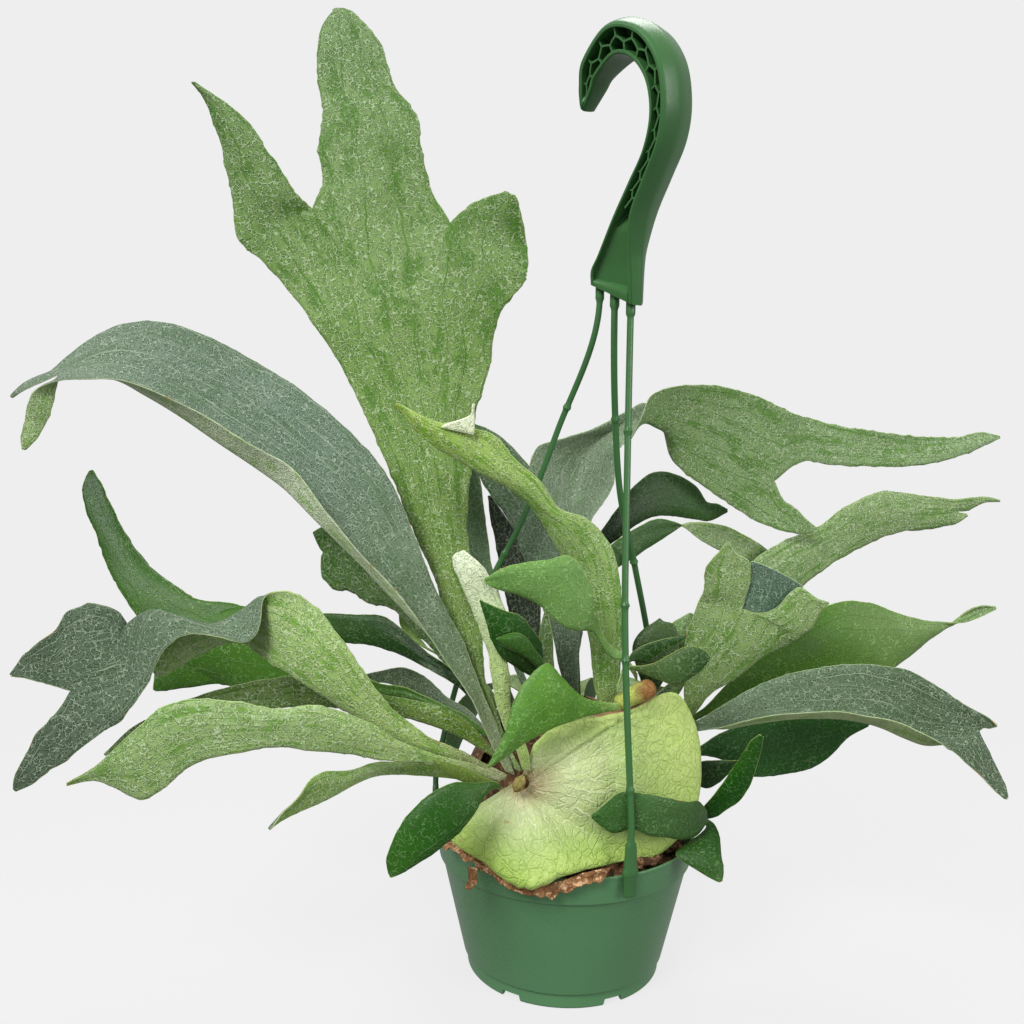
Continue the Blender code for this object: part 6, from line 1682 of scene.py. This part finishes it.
def build_strand(name, s_foot, h_foot, way, angle, mats):
    """One strand: sleeve under the hook, thin cord with moulded beads, clip at the rim."""
    radial = Vector((math.sin(angle), -math.cos(angle), 0))
    turn = math.degrees(angle)
    top = hook_point(s_foot, h_foot)
    clip = radial * (RIM_RADIUS + 2.1)
    knots = [top + Vector((0, 0, 0.6)), top + Vector((0, 0, -7))] + [seen(*p) for p in way]
    knots.append(clip + Vector((0, 0, POT_HEIGHT + 26)))
    lengths = running_lengths(knots)
    total = lengths[-1]
    beads = [lengths[1] + down for down in BEADS_DOWN] + [total - up for up in BEADS_UP]
    stations = []
    for k in range(STRAND_STEPS + 1):
        d = total * k / STRAND_STEPS
        thick = strand_thickness(d, beads)
        stations.append((curve_at(knots, lengths, min(d, total - 1e-4)), thick, thick, turn))
    for height, half_w, half_d in CLIP:
        stations.append((clip + Vector((0, 0, POT_HEIGHT + height)), half_w, half_d, turn))
    points, faces = tube(stations, 20, 2.6)
    piece = mesh_from("hanger_" + name, points, faces, [mats["hanger"]])
    piece.data.set_sharp_from_angle(angle=math.radians(40))
    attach(piece, "root")
    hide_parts(name)


def build_hanger(mats):
    build_hook(mats)
    for name, s_foot, h_foot, way, degrees in STRANDS:
        build_strand(name, s_foot, h_foot, way, math.radians(degrees), mats)


# ---------------------------------------------------------------- studio

# Brightness of the backdrop, and of the world's light from straight below and above.
BACKDROP = 0.855
WORLD_LIGHT = (0.24, 0.62)
# Floor: its albedo by the pot, the distances in metres over which that fades to none,
# and the light that falls on it.
FLOOR_ALBEDO = 0.08
FLOOR_FADE = (0.25, 0.9)
FLOOR_LIGHT = 1.15
# Lamps: name, place in metres, size in metres and power in watts.
LIGHT_TARGET = Vector((0, 0.05, -0.25))
LIGHTS = [("key", (-1.2, -1.7, 1.5), 1.1, 70.0), ("fill", (2.0, -1.4, 0.4), 1.2, 24.0),
          ("top", (0.3, 0.9, 1.9), 1.2, 30.0)]


def build_camera():
    data = bpy.data.cameras.new("camera")
    data.sensor_width = SENSOR
    data.lens = LENS
    camera = bpy.data.objects.new("camera", data)
    bpy.context.scene.collection.objects.link(camera)
    turn = (Matrix.Rotation(math.radians(90 - PITCH), 4, "X")
            @ Matrix.Rotation(math.radians(ROLL), 4, "Z"))
    camera.matrix_world = Matrix.Translation(metres(EYE)) @ turn
    bpy.context.scene.camera = camera


def build_floor():
    """Pale floor in the backdrop's own tone, so that only the contact shadow shows."""
    bpy.ops.mesh.primitive_circle_add(vertices=96, radius=3.0, fill_type="NGON",
                                      location=(0, 0, metres((0, 0, 0)).z))
    floor = bpy.context.object
    floor.name = "studio_floor"
    s = Shader("floor_paint")
    away = s.node("ShaderNodeVectorMath", {0: s.place()}, operation="LENGTH").outputs["Value"]
    albedo = s.ramp(away, *FLOOR_FADE, FLOOR_ALBEDO, 0.0)
    s.bsdf.inputs["Emission Color"].default_value = (1, 1, 1, 1)
    s.put(s.bsdf.inputs["Emission Strength"],
          s.minus(BACKDROP, s.times(albedo, FLOOR_LIGHT)))
    s.finish(s.vector(albedo, albedo, albedo), 1.0, None, 0.0)
    floor.data.materials.append(s.mat)
    floor.visible_diffuse = False
    floor.visible_glossy = False


def build_world():
    """Even backdrop for the camera, and softer light that is weaker from below."""
    world = bpy.data.worlds.new("studio")
    world.use_nodes = True
    tree = world.node_tree
    nodes, links = tree.nodes, tree.links
    shade = nodes["Background"]
    split = nodes.new("ShaderNodeSeparateXYZ")
    links.new(nodes.new("ShaderNodeTexCoord").outputs["Generated"], split.inputs[0])
    fade = nodes.new("ShaderNodeMapRange")
    links.new(split.outputs[2], fade.inputs[0])
    for slot, value in zip((1, 2, 3, 4), (-1.0, 1.0, *WORLD_LIGHT)):
        fade.inputs[slot].default_value = value
    ray = nodes.new("ShaderNodeLightPath").outputs["Is Camera Ray"]
    choose = nodes.new("ShaderNodeMix")
    links.new(ray, choose.inputs[0])
    links.new(fade.outputs[0], choose.inputs[2])
    choose.inputs[3].default_value = BACKDROP
    links.new(choose.outputs[0], shade.inputs[1])
    shade.inputs[0].default_value = (1, 1, 1, 1)
    bpy.context.scene.world = world


def build_lights():
    for name, place, size, power in LIGHTS:
        data = bpy.data.lights.new(name, "AREA")
        data.size = size
        data.energy = power
        light = bpy.data.objects.new(name, data)
        light.location = place
        light.rotation_euler = (LIGHT_TARGET - light.location).to_track_quat("-Z", "Y").to_euler()
        bpy.context.scene.collection.objects.link(light)


# ---------------------------------------------------------------- whole scene

def main():
    noise.seed_set(SEED)
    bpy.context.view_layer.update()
    build_camera()
    build_floor()
    build_world()
    build_lights()
    bpy.context.scene.view_settings.view_transform = "Standard"
    mats = build_materials()
    build_pot(mats)
    build_root_ball(mats)
    build_shield(mats)
    build_back_shield(mats)
    build_dry_margin(mats)
    build_crown(mats)
    build_hanger(mats)
    for number, entry in enumerate(FRONDS):
        frond(number, entry, seen, mats)
    frond(len(FRONDS) + len(BACK_FRONDS), FOLD, seen, mats, FOLD_NODE)
    for number, entry in enumerate(BACK_FRONDS):
        frond(number + BACK_NUMBER, entry, plain, mats)
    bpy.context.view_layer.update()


main()
